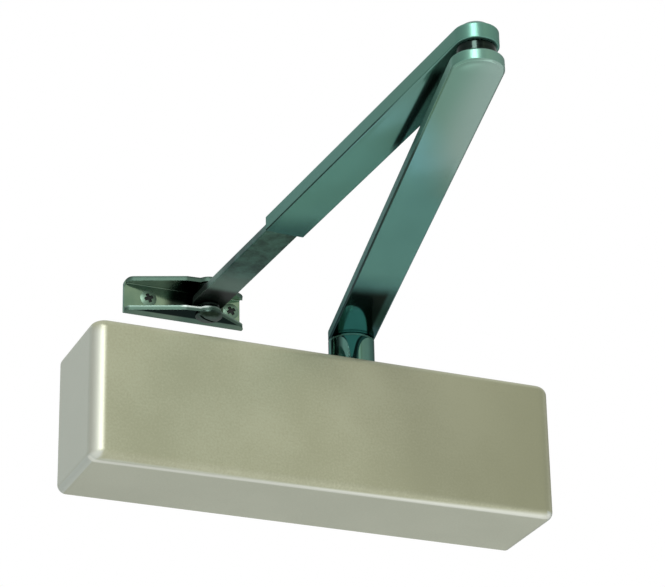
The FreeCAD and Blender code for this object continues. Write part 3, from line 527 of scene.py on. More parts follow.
def buildElbow():
    e = elbowFit
    spacer = ringOutline(e["inner"], e["spacer"], e["spacerLow"], e["spacerHigh"], e["edges"])
    spacerPiece = turnedPiece("elbowSpacer", [softProfile(spacer, e["soft"], 4)], *elbow)
    stud = softProfile([(0, e["low"]), (e["shank"], e["low"]), (e["shank"], e["headLow"]),
                        (e["head"], e["headLow"]), (e["head"], e["headEdge"]),
                        (e["head"] - e["slope"], e["headHigh"]), (0, e["headHigh"])], e["headSoft"], 5)
    studPiece = turnedPiece("elbowStud", [stud], *elbow)
    return spacerPiece, studPiece


spacerPiece, studPiece = buildElbow()

# washer and hexagon screw on top of the main arm, the head's corners turned down
armTopShade = {"washer": 9.0, "inner": 3.05, "low": 64.8, "high": 66.2, "soft": 0.25, "flats": 10.0,
          "headHigh": 70.2, "chamfer": 0.7, "topShare": 0.93, "turned": 0.96}


# radius of a hexagon over the distance to its flats, at an angle
def hexagon(angle):
    turned = (angle + np.pi / 6) % (np.pi / 3) - np.pi / 6
    return (1 / np.cos(turned))[None, :]


def buildArmTop():
    a = armTopShade
    washer = softProfile([(a["inner"], a["low"]), (a["washer"], a["low"]), (a["washer"], a["high"]),
                          (a["inner"], a["high"])], a["soft"], 4)
    washerPiece = turnedPiece("armWasher", [washer], *spindle)
    flat, top = a["flats"] / 2, a["headHigh"]
    profile = np.array([(0, a["high"]), (flat, a["high"]), (flat, top - a["chamfer"]),
                        (flat * a["topShare"], top), (0, top)])
    grid = turnedGrid(profile, *spindle, 120, hexagon)
    out = grid[3, :, :2] - spindle
    radius = np.linalg.norm(out, axis=1)
    grid[3, :, :2] = spindle + out * (np.minimum(radius, flat * a["turned"]) / radius)[:, None]
    return washerPiece, pieceOf("armScrew", [(grid, False, True)], sharp=25)


washerPiece, armScrewPiece = buildArmTop()

# clamp screw on top of the sleeve, with a hexagon socket
clamp = {"setback": 11.0, "radius": 4.0, "low": 78.4, "high": 81.0, "soft": 0.4, "mouth": 1.2,
         "socket": 1.75, "depth": 1.6}


def buildClamp():
    c = clamp
    along, across = armFrame(elbow, pivot)
    place = elbow + (sleeve["length"] - c["setback"]) * along
    outside = softProfile([(0, c["low"]), (c["radius"], c["low"]), (c["radius"], c["high"]),
                           (c["socket"] * c["mouth"], c["high"])], c["soft"], 6)[:-1]
    outer = turnedGrid(outside, *place, 96)
    recess = np.array([(c["socket"], c["high"]), (c["socket"], c["high"] - c["depth"]),
                       (0, c["high"] - c["depth"])])
    inner = turnedGrid(recess, *place, 96, hexagon)
    return pieceOf("clampScrew", [(join([outer, inner]), False, True)])


clampPiece = buildClamp()
print("turned pieces made")


# bracket: one sheet folded twice, its flanges cut back to the sides of the pivot
bracket = {"left": -42.4, "right": 22.9, "plateRight": 21.2, "standoff": 13.4, "low": 66.4, "high": 85.5,
           "sheet": 2.5, "fold": 0.9, "foldInside": 0.4, "corner": 2.2, "topCorner": 4.2, "topRound": 2.6,
           "nose": 6.4, "columns": 110, "steps": 20, "rounding": 0.4, "screws": (-29.2, 16.3),
           "front": ((-42.4, 8.6), (-13.0, -2.6), (2.6, -3.8), (22.9, 9.4)), "flangeLeast": 0.1,
           "plateFront": 10.3, "plateFade": 0.3, "plateEdge": 0.6, "plateRound": 2.2, "shiftRun": 5.0}


# front edge of a flange over x: the outline's straight runs, the nose's round, and the end corners
def flangeFront(x, leftCorner):
    b = bracket
    line = np.interp(x, *zip(*b["front"]))
    line = np.where(np.abs(x) < b["nose"], np.minimum(line, -chord(b["nose"], x)), line)
    for distance, radius in ((x - b["left"], leftCorner), (b["right"] - x, b["corner"])):
        line = line + radius - chord(radius, np.maximum(radius - distance, 0))
    return np.minimum(line, b["standoff"] - b["sheet"] - b["foldInside"] - b["flangeLeast"])


# half of the section over x, from the middle of the plate out to a flange's front edge
def sectionHalf(front, standoff, reach, fold):
    back = standoff - fold
    plate = np.linspace(0, reach - fold, 6)[:-1, None] * np.ones((1, front.size))
    turn = np.radians(np.linspace(0, 90, 8))[:, None] * np.ones((1, front.size))
    run = back + (front - back) * np.linspace(0, 1, bracket["steps"])[1:, None]
    y = join([np.full(plate.shape, standoff), back + fold * np.cos(turn), run])
    z = join([plate, reach - fold + fold * np.sin(turn), np.full(run.shape, reach)])
    return y, z


# the plate's right edge lies further in than the flanges', and the sheet's upper left end drops in a
# round: drop(x) = R - sqrt(R^2 - (R - (x - left))^2)
def buildBracket():
    b = bracket
    ends = 1 - np.cos(np.linspace(0, np.pi / 2, 10))
    flat = np.linspace(b["left"] + b["topCorner"], b["right"] - b["corner"], b["columns"])[1:-1]
    x = join([b["left"] + b["topCorner"] * ends, flat, (b["right"] - b["corner"] * ends)[::-1]])
    middle = (b["low"] + b["high"]) / 2
    halfOut = middle - b["low"]
    walls = []
    for standoff, reach, fold in ((b["standoff"], halfOut, b["fold"]),
                                  (b["standoff"] - b["sheet"], halfOut - b["sheet"], b["foldInside"])):
        lowY, lowZ = sectionHalf(flangeFront(x, b["corner"]), standoff, reach, fold)
        highY, highZ = sectionHalf(flangeFront(x, b["topCorner"]), standoff, reach, fold)
        y = join([lowY[::-1], highY[1:]])
        z = join([middle - lowZ[::-1], middle + highZ[1:]])
        inPlate = (np.clip((y - b["plateFront"]) / b["plateFade"], 0, 1)
                   * np.clip((z - b["low"] - b["plateEdge"]) / b["plateRound"], 0, 1)
                   * np.clip((b["high"] - b["plateEdge"] - z) / b["plateRound"], 0, 1))
        share = np.clip((x - b["right"]) / b["shiftRun"] + 1, 0, 1)
        shift = share * (b["right"] - b["plateRight"])
        gap = np.maximum(b["topRound"] - (x - b["left"]), 0)
        drop = b["topRound"] - chord(b["topRound"], gap)
        z = z - drop * np.clip((z - middle) / halfOut, 0, 1)
        walls.append(np.stack([pivot[0] + x - shift * inPlate, pivot[1] + y, z], axis=2))
    loop = join([walls[0], walls[1][::-1]])
    caps = [np.stack([walls[0][:, end], walls[1][:, end]]) for end in (0, -1)]
    patches = [(loop, True, False)] + [(cap, False, False) for cap in caps]
    return pieceOf("bracketSheet", patches, rounding=b["rounding"], segments=3)


bracketPiece = buildBracket()


# pivot pin: slotted domed head under the lower flange, riveted over the upper one
# height(x, y) = low + (face - rim - low) * (r / head)^(2 * power), not below the slot's floor inside it
pin = {"head": 7.0, "low": 63.4, "face": 66.4, "rim": 0.9, "power": 1.6, "slot": 1.3, "slotDepth": 1.3,
       "slotTurn": 22.0, "slotRows": (-0.08, 0.0, 0.06), "rowGap": 0.25, "baseEdge": 0.25, "base": 0.965,
       "shank": 3.0, "rivet": 4.6, "rivetTop": 0.62, "rivetSoft": 0.8, "rivetLow": 85.5, "rivetHigh": 86.9}


def buildPin():
    p = pin
    half = p["slot"] / 2
    first = np.arcsin((half + p["rowGap"]) / p["head"])
    rowsOut = p["head"] * np.sin(np.linspace(first, np.pi / 2, 22))
    side = join([half + np.array(p["slotRows"]), rowsOut])
    y = join([-side[::-1], [0.0], side])
    t = np.sin(np.linspace(-np.pi / 2, np.pi / 2, 49))
    x = t[None, :] * chord(p["head"], y)[:, None]
    yy = np.broadcast_to(y[:, None], x.shape)
    r2 = (x ** 2 + yy ** 2) / p["head"] ** 2
    dome = p["low"] + (p["face"] - p["rim"] - p["low"]) * r2 ** p["power"]
    inSlot = np.abs(yy) < half + p["slotRows"][0] / 2
    z = np.where(inSlot, np.maximum(dome, p["low"] + p["slotDepth"]), dome)
    a = np.radians(p["slotTurn"])
    head = np.stack([pivot[0] + x * np.cos(a) - yy * np.sin(a),
                     pivot[1] + x * np.sin(a) + yy * np.cos(a), z], axis=-1)
    rim = join([head[:, 0], head[::-1, -1]])
    rows = [rim]
    for share, height in ((1, p["face"] - p["baseEdge"]), (p["base"], p["face"]), (0, p["face"])):
        flat = pivot + (rim[:, :2] - pivot) * share
        rows.append(join([flat, np.full((len(rim), 1), height)], axis=1))
    skirt = np.stack(rows)
    pieceHead = pieceOf("pivotPinHead", [(head, False, False), (skirt, False, True)], sharp=40)
    low, high = p["rivetLow"], p["rivetHigh"]
    rivet = softProfile([(0, low), (p["rivet"], low), (p["rivet"] * p["rivetTop"], high), (0, high)],
                        p["rivetSoft"], 6)
    shank = [(0, p["face"]), (p["shank"], p["face"]), (p["shank"], low), (0, low)]
    rivetPiece = turnedPiece("pivotRivet", [rivet, np.array(shank)], *pivot)
    return pieceHead, rivetPiece


pinPieces = buildPin()

# collars below and above the rod, with a groove round their middle
bushes = {"radius": 5.5, "inner": 3.05, "spans": ((68.92, 72.45), (76.55, 82.98)), "edge": 0.4,
          "groove": 0.3, "soft": 0.15}


def buildBushes():
    b = bushes
    profiles = []
    for low, high in b["spans"]:
        middle, r, g, edge = (low + high) / 2, b["radius"], b["groove"], b["edge"]
        groove = [(r, middle - edge), (r - g, middle - edge / 2),
                  (r - g, middle + edge / 2), (r, middle + edge)]
        profile = ringOutline(b["inner"], r, low, high, (edge, edge), *groove)
        profiles.append(softProfile(profile, b["soft"], 4))
    return turnedPiece("pivotBushes", profiles, *pivot)


bushPiece = buildBushes()


# countersunk screw heads: a square grid with a cross recess in the middle, ruled out to a circle
# depth(a, b) = full where |a| < arm and |b| < reach, or the other way round, easing over the walls
crossHead = {"radius": 4.4, "square": 2.7, "arm": 0.95, "reach": 2.45, "depth": 0.82, "ease": 0.22,
             "shallower": 0.35, "proud": 0.9, "rim": 0.15, "sink": 2.2, "neck": 2.1, "thread": 1.9,
             "point": 13.5, "tip": 17.5, "turns": (25.0, 32.0), "shadeDepth": 0.12, "shadeReach": 0.15}


def crossPatch(count=44):
    c = crossHead
    line = np.linspace(-1, 1, count) * c["square"]
    a, b = np.meshgrid(line, line, indexing="ij")

    def bar(p, q):
        return (np.clip((c["arm"] - np.abs(p)) / c["ease"], 0, 1)
                * np.clip((c["reach"] - np.abs(q)) / c["ease"], 0, 1))
    depth = c["depth"] * np.maximum(bar(a, b), bar(b, a))
    depth = depth * (1 - c["shallower"] * np.sqrt(a ** 2 + b ** 2) / c["reach"])
    proud = c["proud"] * (1 - (a ** 2 + b ** 2) / c["radius"] ** 2)
    return a, b, proud - depth


def buildBracketScrews():
    c = crossHead
    a, b, h = crossPatch()
    edge = [join([m[0, :-1], m[:-1, -1], m[-1, :0:-1], m[:0:-1, 0]]) for m in (a, b, h)]
    angle = np.arctan2(edge[1], edge[0])
    t = np.linspace(0, 1, 10)[:, None]
    ringA = edge[0] + (c["radius"] * np.cos(angle) - edge[0]) * t
    ringB = edge[1] + (c["radius"] * np.sin(angle) - edge[1]) * t
    ringH = c["proud"] * (1 - (ringA ** 2 + ringB ** 2) / c["radius"] ** 2)
    sheet = bracket["sheet"]
    rim = np.array([(c["radius"], -c["rim"]), (c["neck"], -c["sink"]), (c["neck"], -sheet),
                    (c["thread"], -sheet), (c["thread"], -c["point"]), (0.0, -c["tip"])])
    lowA = rim[:, 0:1] * np.cos(angle)
    lowB = rim[:, 0:1] * np.sin(angle)
    lowH = rim[:, 1:2] * np.ones((1, angle.size))
    ringA, ringB, ringH = (join(p) for p in ((ringA, lowA), (ringB, lowB), (ringH, lowH)))
    patches = []
    middle = (bracket["low"] + bracket["high"]) / 2
    for x, turn in zip(bracket["screws"], c["turns"]):
        spin = np.radians(turn)
        for p, q, r, closed in ((a, b, h, False), (ringA, ringB, ringH, True)):
            grid = np.stack([pivot[0] + x + p * np.cos(spin) - q * np.sin(spin),
                             -sheet - r, middle + p * np.sin(spin) + q * np.cos(spin)], axis=2)
            patches.append((grid, False, closed))
    piece = pieceOf("bracketScrews", patches, sharp=40)
    faces = piece.data.polygons
    centres = np.empty(len(faces) * 3)
    faces.foreach_get("center", centres)
    x, y, z = centres.reshape(-1, 3).T / mm
    away = np.min([np.hypot(x - pivot[0] - place, z - middle) for place in bracket["screws"]], axis=0)
    dome = -sheet - c["proud"] * (1 - (away / c["radius"]) ** 2)
    # faces deep in the recess take the painted shade
    inside = (y > dome + c["shadeDepth"]) & (y < -sheet) & (away < c["reach"] + c["shadeReach"])
    faces.foreach_set("material_index", inside.astype(np.int32))
    return piece


bracketScrewPiece = buildBracketScrews()
print("bracket made")


# finishes; lengths in their wear and in their painted light and shade are in metres
tones = {
    # the cover's worn tone is a painted highlight, its end tone painted light and its shade tone painted
    # shade
    "nickel": (158, 160, 135), "nickelDark": (145, 147, 121), "nickelWornHighlight": (206, 209, 198),
    "nickelShade": (128, 130, 104), "nickelLitEnd": (170, 177, 167),
    "steel": (112, 156, 146), "steelDark": (92, 134, 124),
    # the rod's pale tone is painted light
    "dull": (85, 129, 121), "dullDark": (53, 86, 82), "dullLit": (98, 126, 116),
    "spacer": (46, 58, 54), "spacerDark": (20, 26, 24),
    "arm": (115, 173, 174), "armDark": (107, 163, 164),
    # the arms' pale and shade tones, and the sleeve's hand, side and top tones, are painted light and
    # shade
    "armLit": (142, 168, 158), "armShade": (104, 142, 126),
    "sleeve": (110, 167, 166), "sleeveDark": (104, 159, 156), "sleeveShade": (92, 134, 122),
    "sleeveEnd": (78, 128, 128), "armSideShade": (100, 146, 131),
    "armTopShade": (106, 146, 134),
    "channel": (134, 158, 138), "channelDark": (106, 136, 120), "ceiling": (104, 126, 108),
    # the bracket's edge line and bright tones are painted highlights, its edge top tone painted shade
    "edge": (72, 96, 84), "edgeLitLine": (118, 142, 131), "edgeTopShade": (58, 78, 68),
    # soot is painted shade and painted dark reflections
    "paintedHighlight": (206, 220, 213), "paintedShade": (10, 16, 14),
    "pin": (70, 90, 82), "pinDark": (40, 56, 50),
    "screw": (120, 147, 128), "screwDark": (100, 127, 110),
    "zinc": (176, 178, 170), "zincDark": (146, 150, 144),
    "cast": (150, 152, 148), "castDark": (118, 121, 118),
    "hard": (120, 122, 122), "hardDark": (86, 88, 90),
    "brass": (196, 164, 92), "brassDark": (160, 128, 66),
    "rubber": (38, 38, 38), "rubberDark": (24, 24, 24),
}
tone = {name: (*plain(*colour), 1) for name, colour in tones.items()}

# what a polished metal's reflections are tinted by at a grazing angle
steelTint = (0.55, 0.6, 0.6, 1)

# cover: where the painted highlight on the rubbed bend fades, the painted highlight line behind the lower
# front edge and its slope, and where the front's painted shade runs
coverWearAndLight = {"bendFade": (0.0285, 0.0350), "line": 0.0046, "lineSlope": 0.0150,
             "lineFade": (0.0006, 0.0024), "darker": (0.0, 0.14)}


# satin plating, with a painted highlight on the left front bend, where it is also rubbed to a shinier
# metal, and another painted highlight in a line along the lower front edge; its ends and underside painted
# paler and its front painted in shade towards the right
def satinNickel(g):
    w = coverWearAndLight
    cloud = g.noise(18, 4)
    grain = g.noise(2600, 2)
    flecks = g.noise(900, 3)
    colour = g.mottle(cloud * 0.6 + flecks * 0.4, "nickelDark", "nickel", 0.35)
    sideways, forwards, level = (g.facing(name) for name in "XYZ")
    # painted highlight down the left front bend; the bend is also rubbed to a shinier metal
    bend = g.smooth(g.least(0 - sideways, 0 - forwards), 0.08, 0.6) * g.fall(g.axis("Z"), *w["bendFade"])
    back = g.axis("Y") + cover["depth"] * mm
    fromLine = g.size(back - w["line"] + w["lineSlope"] * g.axis("X"))
    # painted highlight in a line along the lower front edge
    lower = g.smooth(0 - level, 0.35, 0.6) * g.fall(fromLine, *w["lineFade"])
    wornHighlight = g.most(bend, lower)
    # painted shade over the right half of the front
    shaded = g.smooth(0 - forwards, 0.8, 0.98) * g.smooth(g.axis("X"), *w["darker"])
    # painted light: the ends, the underside and its side edges made paler
    ends = g.most(g.smooth(g.size(sideways), 0.85, 0.98) * 0.75, g.smooth(0 - level, 0.85, 0.98) * 0.4)
    ends = g.most(ends, g.smooth(g.least(g.size(sideways), 0 - level), 0.2, 0.4))
    colour = g.coat(shaded * 0.85, colour, "nickelShade")
    colour = g.coat(ends, colour, "nickelLitEnd")
    # the painted highlights are coated over the rest
    colour = g.coat(wornHighlight * 0.8, colour, "nickelWornHighlight")
    normal = g.bump(grain, 0.00002, 0.35)
    g.surface(colour, 0.28 + 0.42 * bend, 0.32 + 0.08 * grain + 0.14 * bend, normal)


# the hub is turned, so it shines more sharply than the rest
def turnedSteel(g):
    cloud = g.noise(22, 4)
    rings = g.noise(500, 3, (0.05, 0.05, 1))
    colour = g.mottle(cloud, "steelDark", "steel")
    g.surface(colour, 1.0, 0.05 + 0.03 * rings, tint=steelTint)


def polishedSteel(g):
    cloud = g.noise(22, 4)
    hair = g.noise(300, 3)
    colour = g.mottle(cloud, "steelDark", "steel")
    normal = g.bump(cloud, 0.0002, 0.12)
    g.surface(colour, 1.0, 0.1 + 0.07 * hair, normal)


# a point's distance along and across an arm, from the elbow
def armPlace(g, end):
    lengthwise, crosswise = armFrame(elbow, end)
    awayX, awayY = g.axis("X") - elbow[0] * mm, g.axis("Y") - elbow[1] * mm
    return (awayX * lengthwise[0] + awayY * lengthwise[1],
            awayX * crosswise[0] + awayY * crosswise[1])


# upright sides, the flat underside, a painted shade line along the lower left edge, and the top
def armParts(g, along, across):
    level = g.facing("Z")
    sides = g.fall(g.size(level), 0.3, 0.8)
    under = g.smooth(0 - level, 0.85, 0.97)
    # painted shade line on the lower left chamfer
    line = g.smooth(0 - level, 0.15, 0.35) * g.fall(0 - level, 0.9, 0.98)
    line = line * g.smooth(along, 0.04, 0.08) * g.fall(across, -0.008, -0.004)
    return sides, under, line, g.smooth(level, 0.5, 0.9)


# main arm: where the painted light and shade near the elbow runs, where the painted shade by the hub
# starts, and the slanting, round-fronted clear area inside that painted shade
armLightAndShade = {"paintedLight": (0.055, 0.125), "paintedShade": (0.214, 0.229), "paintedShadeSide": (0.0065, 0.0085),
           "clearEnd": 0.2845, "clearSlant": 0.196, "clearShift": 0.0008, "clearHalf": 0.0078,
           "clearFront": 0.2725, "clearLength": 0.0325, "mirror": (0.225, 0.25)}


# painted paler on the right and darker on the left towards the elbow, painted shade on its sides and top,
# and a dark reflection painted under the hub's end
def armSteel(g):
    w = armLightAndShade
    cloud = g.noise(22, 4)
    hair = g.noise(300, 3)
    along, across = armPlace(g, spindle)
    sides, under, line, top = armParts(g, along, across)
    colour = g.mottle(cloud, "armDark", "arm")
    # painted shade on the top faces
    colour = g.coat(top, colour, "armTopShade")
    # painted light and shade near the elbow: paler on the right, darker on the left
    paintedLight = g.tint(g.smooth(across, -0.010, 0.010), "armShade", "armLit")
    paintedLightZone = g.fall(along - 2 * across + 0.02 * cloud, *w["paintedLight"])
    colour = g.blend(paintedLightZone, colour, paintedLight)
    # painted shade on the upright sides
    colour = g.coat(sides * 0.6, colour, "armSideShade")
    # painted shade: a dark reflection painted on the underside by the hub, less a clear area
    aside = (across - w["clearSlant"] * (along - w["clearEnd"]) - w["clearShift"]) / w["clearHalf"]
    ahead = g.most((w["clearFront"] - along) / w["clearLength"], 0.0)
    past = g.smooth(aside * aside + ahead * ahead * ahead, 0.8, 1.05)
    band = under * g.smooth(along, *w["paintedShade"]) * past * (1 - 0.35 * g.smooth(across, *w["paintedShadeSide"]))
    colour = g.coat(g.most(band * 0.97, line * 0.85), colour, "paintedShade")
    normal = g.bump(cloud, 0.0002, 0.12)
    metallic = 0.72 + 0.28 * g.smooth(along, *w["mirror"])
    g.surface(colour, metallic, 0.09 + 0.06 * hair + 0.2 * sides, normal, steelTint)


# sleeve: where it is painted darker near the elbow, where it darkens towards the square end, and the band
# of painted shadow beside the main arm
sleeveLightAndShade = {"paintedLight": (0.03, 0.12), "end": (0.168, 0.194), "band": ((0.014, 0.026), (0.086, 0.102)),
              "bandSide": 0.011, "bandSlope": 0.055, "bandTaper": 0.012, "bandFade": (0.0020, 0.0034)}


# an even plating, painted in shade near the elbow and on its sides and top, darker towards its square end,
# with the main arm's shadow painted beside it
def sleeveSteel(g):
    w = sleeveLightAndShade
    cloud = g.noise(22, 4)
    hair = g.noise(300, 3)
    along, across = armPlace(g, pivot)
    sides, under, line, top = armParts(g, along, across)
    colour = g.mottle(cloud, "sleeveDark", "sleeve")
    # painted shade on the top faces
    colour = g.coat(top, colour, "armTopShade")
    # painted shade near the elbow
    colour = g.coat(g.fall(along, *w["paintedLight"]), colour, "sleeveShade")
    colour = g.coat(g.smooth(along, *w["end"]), colour, "sleeveEnd")
    # painted shade on the upright sides
    colour = g.coat(sides * 0.8, colour, "armSideShade")
    # painted shadow of the main arm on the underside beside it
    armAlong, armAcross = armPlace(g, spindle)
    fromBand = g.size(armAcross + w["bandSide"] + w["bandSlope"] * armAlong)
    band = g.fall(fromBand + w["bandTaper"] * armAlong, *w["bandFade"])
    band = g.span(armAlong, *w["band"]) * under * band
    colour = g.coat(g.most(line * 0.85, band * 0.95), colour, "paintedShade")
    normal = g.bump(cloud, 0.0002, 0.12)
    g.surface(colour, 0.75, 0.1 + 0.06 * hair + 0.2 * sides, normal, steelTint)


# bracket, by place along x, y and z
bracketWearAndLight = {"shearedY": (-0.0037, -0.0029), "brightX": ((-0.0665, -0.0635), (-0.054, -0.050)),
               "brightZ": (0.071, 0.073), "underShadeY": (-0.0072, -0.0058), "underShadeZ": (0.067, 0.068),
               "pinShadeX": ((-0.0725, -0.066), (-0.040, -0.034)), "pinShadeY": (-0.0034, -0.0028),
               "ceilingX": (-0.0725, -0.064), "ceilingZ": (0.0800, 0.0815),
               "lineZ": ((0.0676, 0.0686), (0.0695, 0.0700)), "topZ": (0.0843, 0.0850)}


# sheared front edges with a painted highlight line and a painted highlight, their tops painted in shade,
# painted shade under the lower flange's front and on the plate behind the pin, and a duller ceiling under
# the upper flange
def bracketSteel(g):
    w = bracketWearAndLight
    cloud = g.noise(60, 4)
    hair = g.noise(400, 3)
    x, y, z = (g.axis(name) for name in "XYZ")
    level = g.facing("Z")
    upright = g.fall(g.size(level), 0.35, 0.6)
    sheared = upright * g.fall(y, *w["shearedY"])
    # painted highlight on the lower flange's front edge
    paintedHighlight = sheared * g.span(x, *w["brightX"]) * g.fall(z, *w["brightZ"])
    # painted shade under the lower flange's front
    paintedShade = g.smooth(0 - level, 0.8, 0.95) * g.fall(y, *w["underShadeY"]) * g.fall(z, *w["underShadeZ"])
    # painted shade on the plate behind the pin
    pinShade = upright * g.span(x, *w["pinShadeX"]) * g.smooth(y, *w["pinShadeY"])
    colour = g.mottle(cloud, "channelDark", "channel")
    ceiling = g.smooth(0 - level, 0.6, 0.85) * g.smooth(z, *w["ceilingZ"]) * g.fall(x, *w["ceilingX"])
    colour = g.coat(ceiling * 0.85, colour, "ceiling")
    # the height band of the painted highlight line on the edges
    paintedLightZone = g.span(z, *w["lineZ"])
    # painted shade on the upper flange's edges
    shaded = g.smooth(z, *w["topZ"])
    colour = g.coat(sheared, colour, "edge")
    colour = g.coat(sheared * paintedLightZone, colour, "edgeLitLine")
    colour = g.coat(sheared * shaded, colour, "edgeTopShade")
    colour = g.coat(paintedHighlight * paintedLightZone, colour, "paintedHighlight")
    colour = g.coat(paintedShade * 0.97 + pinShade * 0.9, colour, "paintedShade")
    normal = g.bump(cloud, 0.0001, 0.1)
    metallic = 1 - 0.35 * sheared - 0.35 * paintedHighlight - 0.7 * ceiling
    g.surface(colour, metallic, 0.12 + 0.06 * hair + 0.32 * sheared, normal, steelTint)


# cross-head screws: greenish plated heads
def screwSteel(g):
    fine = g.noise(900, 3)
    g.surface(g.tint(fine, "screwDark", "screw"), 0.8, 0.38 + 0.1 * fine)


# painted shade in the screws' recess
def recessShade(g):
    fine = g.noise(1200, 3)
    g.surface(g.tint(fine, "paintedShade", "spacerDark"), 0.3, 0.4 + 0.2 * fine)


def pinSteel(g):
    fine = g.noise(500, 4)
    g.surface(g.tint(fine, "pinDark", "pin"), 0.9, 0.3 + 0.1 * fine)


# the rod: dull, painted paler where it comes out of the bracket and painted dark near the pivot
def dullSteel(g):
    blotch = g.noise(120, 6, roughness=0.7)
    grain = g.noise(1500, 3)
    # painted light where the rod comes out of the bracket
    near = g.smooth(g.axis("Y"), -0.062, -0.038)
    colour = g.mottle(blotch, "dullDark", "dull", 0.35)
    colour = g.coat(near * 0.9, colour, "dullLit")
    # painted shade near the pivot
    colour = g.coat(g.smooth(g.axis("Y"), -0.035, -0.029) * 0.95, colour, "paintedShade")
    normal = g.bump(grain, 0.00003, 0.5)
    g.surface(colour, 0.9 - 0.45 * near, 0.3 + 0.2 * blotch, normal)


# elbow spacer and pivot bushes
def darkCollar(g):
    rings = g.noise(700, 2, (0.1, 0.1, 1))
    g.surface(g.tint(rings, "spacerDark", "spacer"), 1.0, 0.12 + 0.1 * rings)


# inner pieces: two tones in patches, a roughness, and a bump of a given scale and lift in metres
def metalFinish(dark, light, metallic, rough, scale, lift):
    def fill(g):
        patch = g.noise(scale, 5, roughness=0.6)
        fine = g.noise(scale * 12, 2)
        colour = g.mottle(patch, dark, light)
        normal = g.bump(patch * 0.5 + fine * 0.5, lift, 0.5)
        g.surface(colour, metallic, rough + 0.15 * fine, normal)
    return fill


finishes = {
    "satin_nickel": finish(satinNickel),
    "polished_steel": finish(polishedSteel),
    "dull_steel": finish(dullSteel),
    "plate_steel": finish(metalFinish("zincDark", "zinc", 0.85, 0.3, 140, 0.00003), "plateSteel"),
    "cast_aluminium": finish(metalFinish("castDark", "cast", 0.7, 0.45, 260, 0.00012), "castAluminium"),
    "hardened_steel": finish(metalFinish("hardDark", "hard", 0.9, 0.28, 200, 0.00003), "hardenedSteel"),
    "valve_brass": finish(metalFinish("brassDark", "brass", 0.95, 0.22, 200, 0.00002), "valveBrass"),
    "seal_rubber": finish(metalFinish("rubberDark", "rubber", 0.0, 0.5, 300, 0.00004), "sealRubber"),
}
collarFinish = finish(darkCollar)

slotOf = {row["node"]: row["material_slot"] for row in frame["record"]["subparts"]}
for name, node in nodes.items():
    node.data.materials.clear()
    node.data.materials.append(finishes[slotOf[name]])


# each new piece: its body, its slot (not used), its finish and the node that it stands for
def dress(piece, body, slot, material, *replaced):
    piece.data.materials.append(material)
    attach(piece, body)
    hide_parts(*replaced)


steel = "polished_steel"
polished = finishes[steel]
swung = ("spindle_and_arm", steel)
dress(coverShell, "cover", "satin_nickel", finishes["satin_nickel"], "cover")
dress(mainArmPiece, *swung, finish(armSteel), "main_arm")
dress(hubPiece, *swung, finish(turnedSteel), "arm_hub")
dress(washerPiece, *swung, polished, "arm_washer")
dress(armScrewPiece, *swung, polished, "arm_screw")
dress(studPiece, *swung, polished, "elbow_stud")
dress(spacerPiece, "forearm", "dull_steel", collarFinish, "elbow_spacer")
dress(sleevePiece, "forearm", steel, finish(sleeveSteel), "forearm_sleeve")
dress(clampPiece, "forearm", steel, polished, "clamp_screw")
dress(rodPiece, "adjusting_rod", "dull_steel", finishes["dull_steel"], "adjusting_rod")
dress(bracketPiece, "bracket", steel, finish(bracketSteel), "bracket")
dress(bracketScrewPiece, "bracket", steel, finish(screwSteel), "bracket_screws")
bracketScrewPiece.data.materials.append(finish(recessShade))
pinFinish = finish(pinSteel)
for piece in pinPieces:
    dress(piece, "bracket", steel, pinFinish, "pivot_pin")
dress(bushPiece, "bracket", "dull_steel", collarFinish, "pivot_bushes")
print("finishes given")


# studio: a pale floor, a white world, soft lamps
studio = {"floorHeight": -0.75, "floorSize": 14.0, "paper": 0.86, "paperGlow": 0.22, "pool": (0.8, 1.65),
          "poolFade": 0.52, "poolGlow": 0.95, "fill": 0.92, "screenTop": (0.44, 0.49),
          "ceilingRise": (0.72, 0.95), "ceiling": (0.85, 0.87, 0.86), "aim": (0.0, -0.12, 0.02)}

side, floorHeight = studio["floorSize"], studio["floorHeight"]
floorMesh = bpy.data.meshes.new("floor")
floorMesh.from_pydata([(side * a, side * b, floorHeight) for a, b in ((-1, -1), (1, -1), (1, 1), (-1, 1))],
                      [], [(0, 1, 2, 3)])
floor = bpy.data.objects.new("floor", floorMesh)
scene.collection.objects.link(floor)


# pale paper, seen from above only; polished metal sees a bright pool of it that fades towards the wall
def floorPaper(g):
    paper = g.node("BsdfDiffuse", None, {"Color": (*[studio["paper"]] * 3, 1)})
    glow = g.node("Emission", None, {"Color": white, "Strength": studio["paperGlow"]})
    lifted = g.node("AddShader", None, {0: paper, 1: glow})
    pool = 1 - studio["poolFade"] * g.smooth(g.axis("Y"), *studio["pool"])
    level = g.node("CombineColor", None, {0: pool, 1: pool, 2: pool})
    mirrored = g.node("Emission", None, {"Color": level, "Strength": studio["poolGlow"]})
    cameraRay, glossyRay = (g.node("LightPath", output=n) for n in (0, 3))
    front = g.mixShaders(glossyRay, g.mixShaders(cameraRay, paper, lifted), mirrored)
    clear = g.node("BsdfTransparent")
    behind = g.node("NewGeometry", output=6)
    g.node("OutputMaterial", None, {"Surface": g.mixShaders(behind, front, clear)})


floorMesh.materials.append(finish(floorPaper))

world = bpy.data.worlds.new("studio")
scene.world = world
world.use_nodes = True

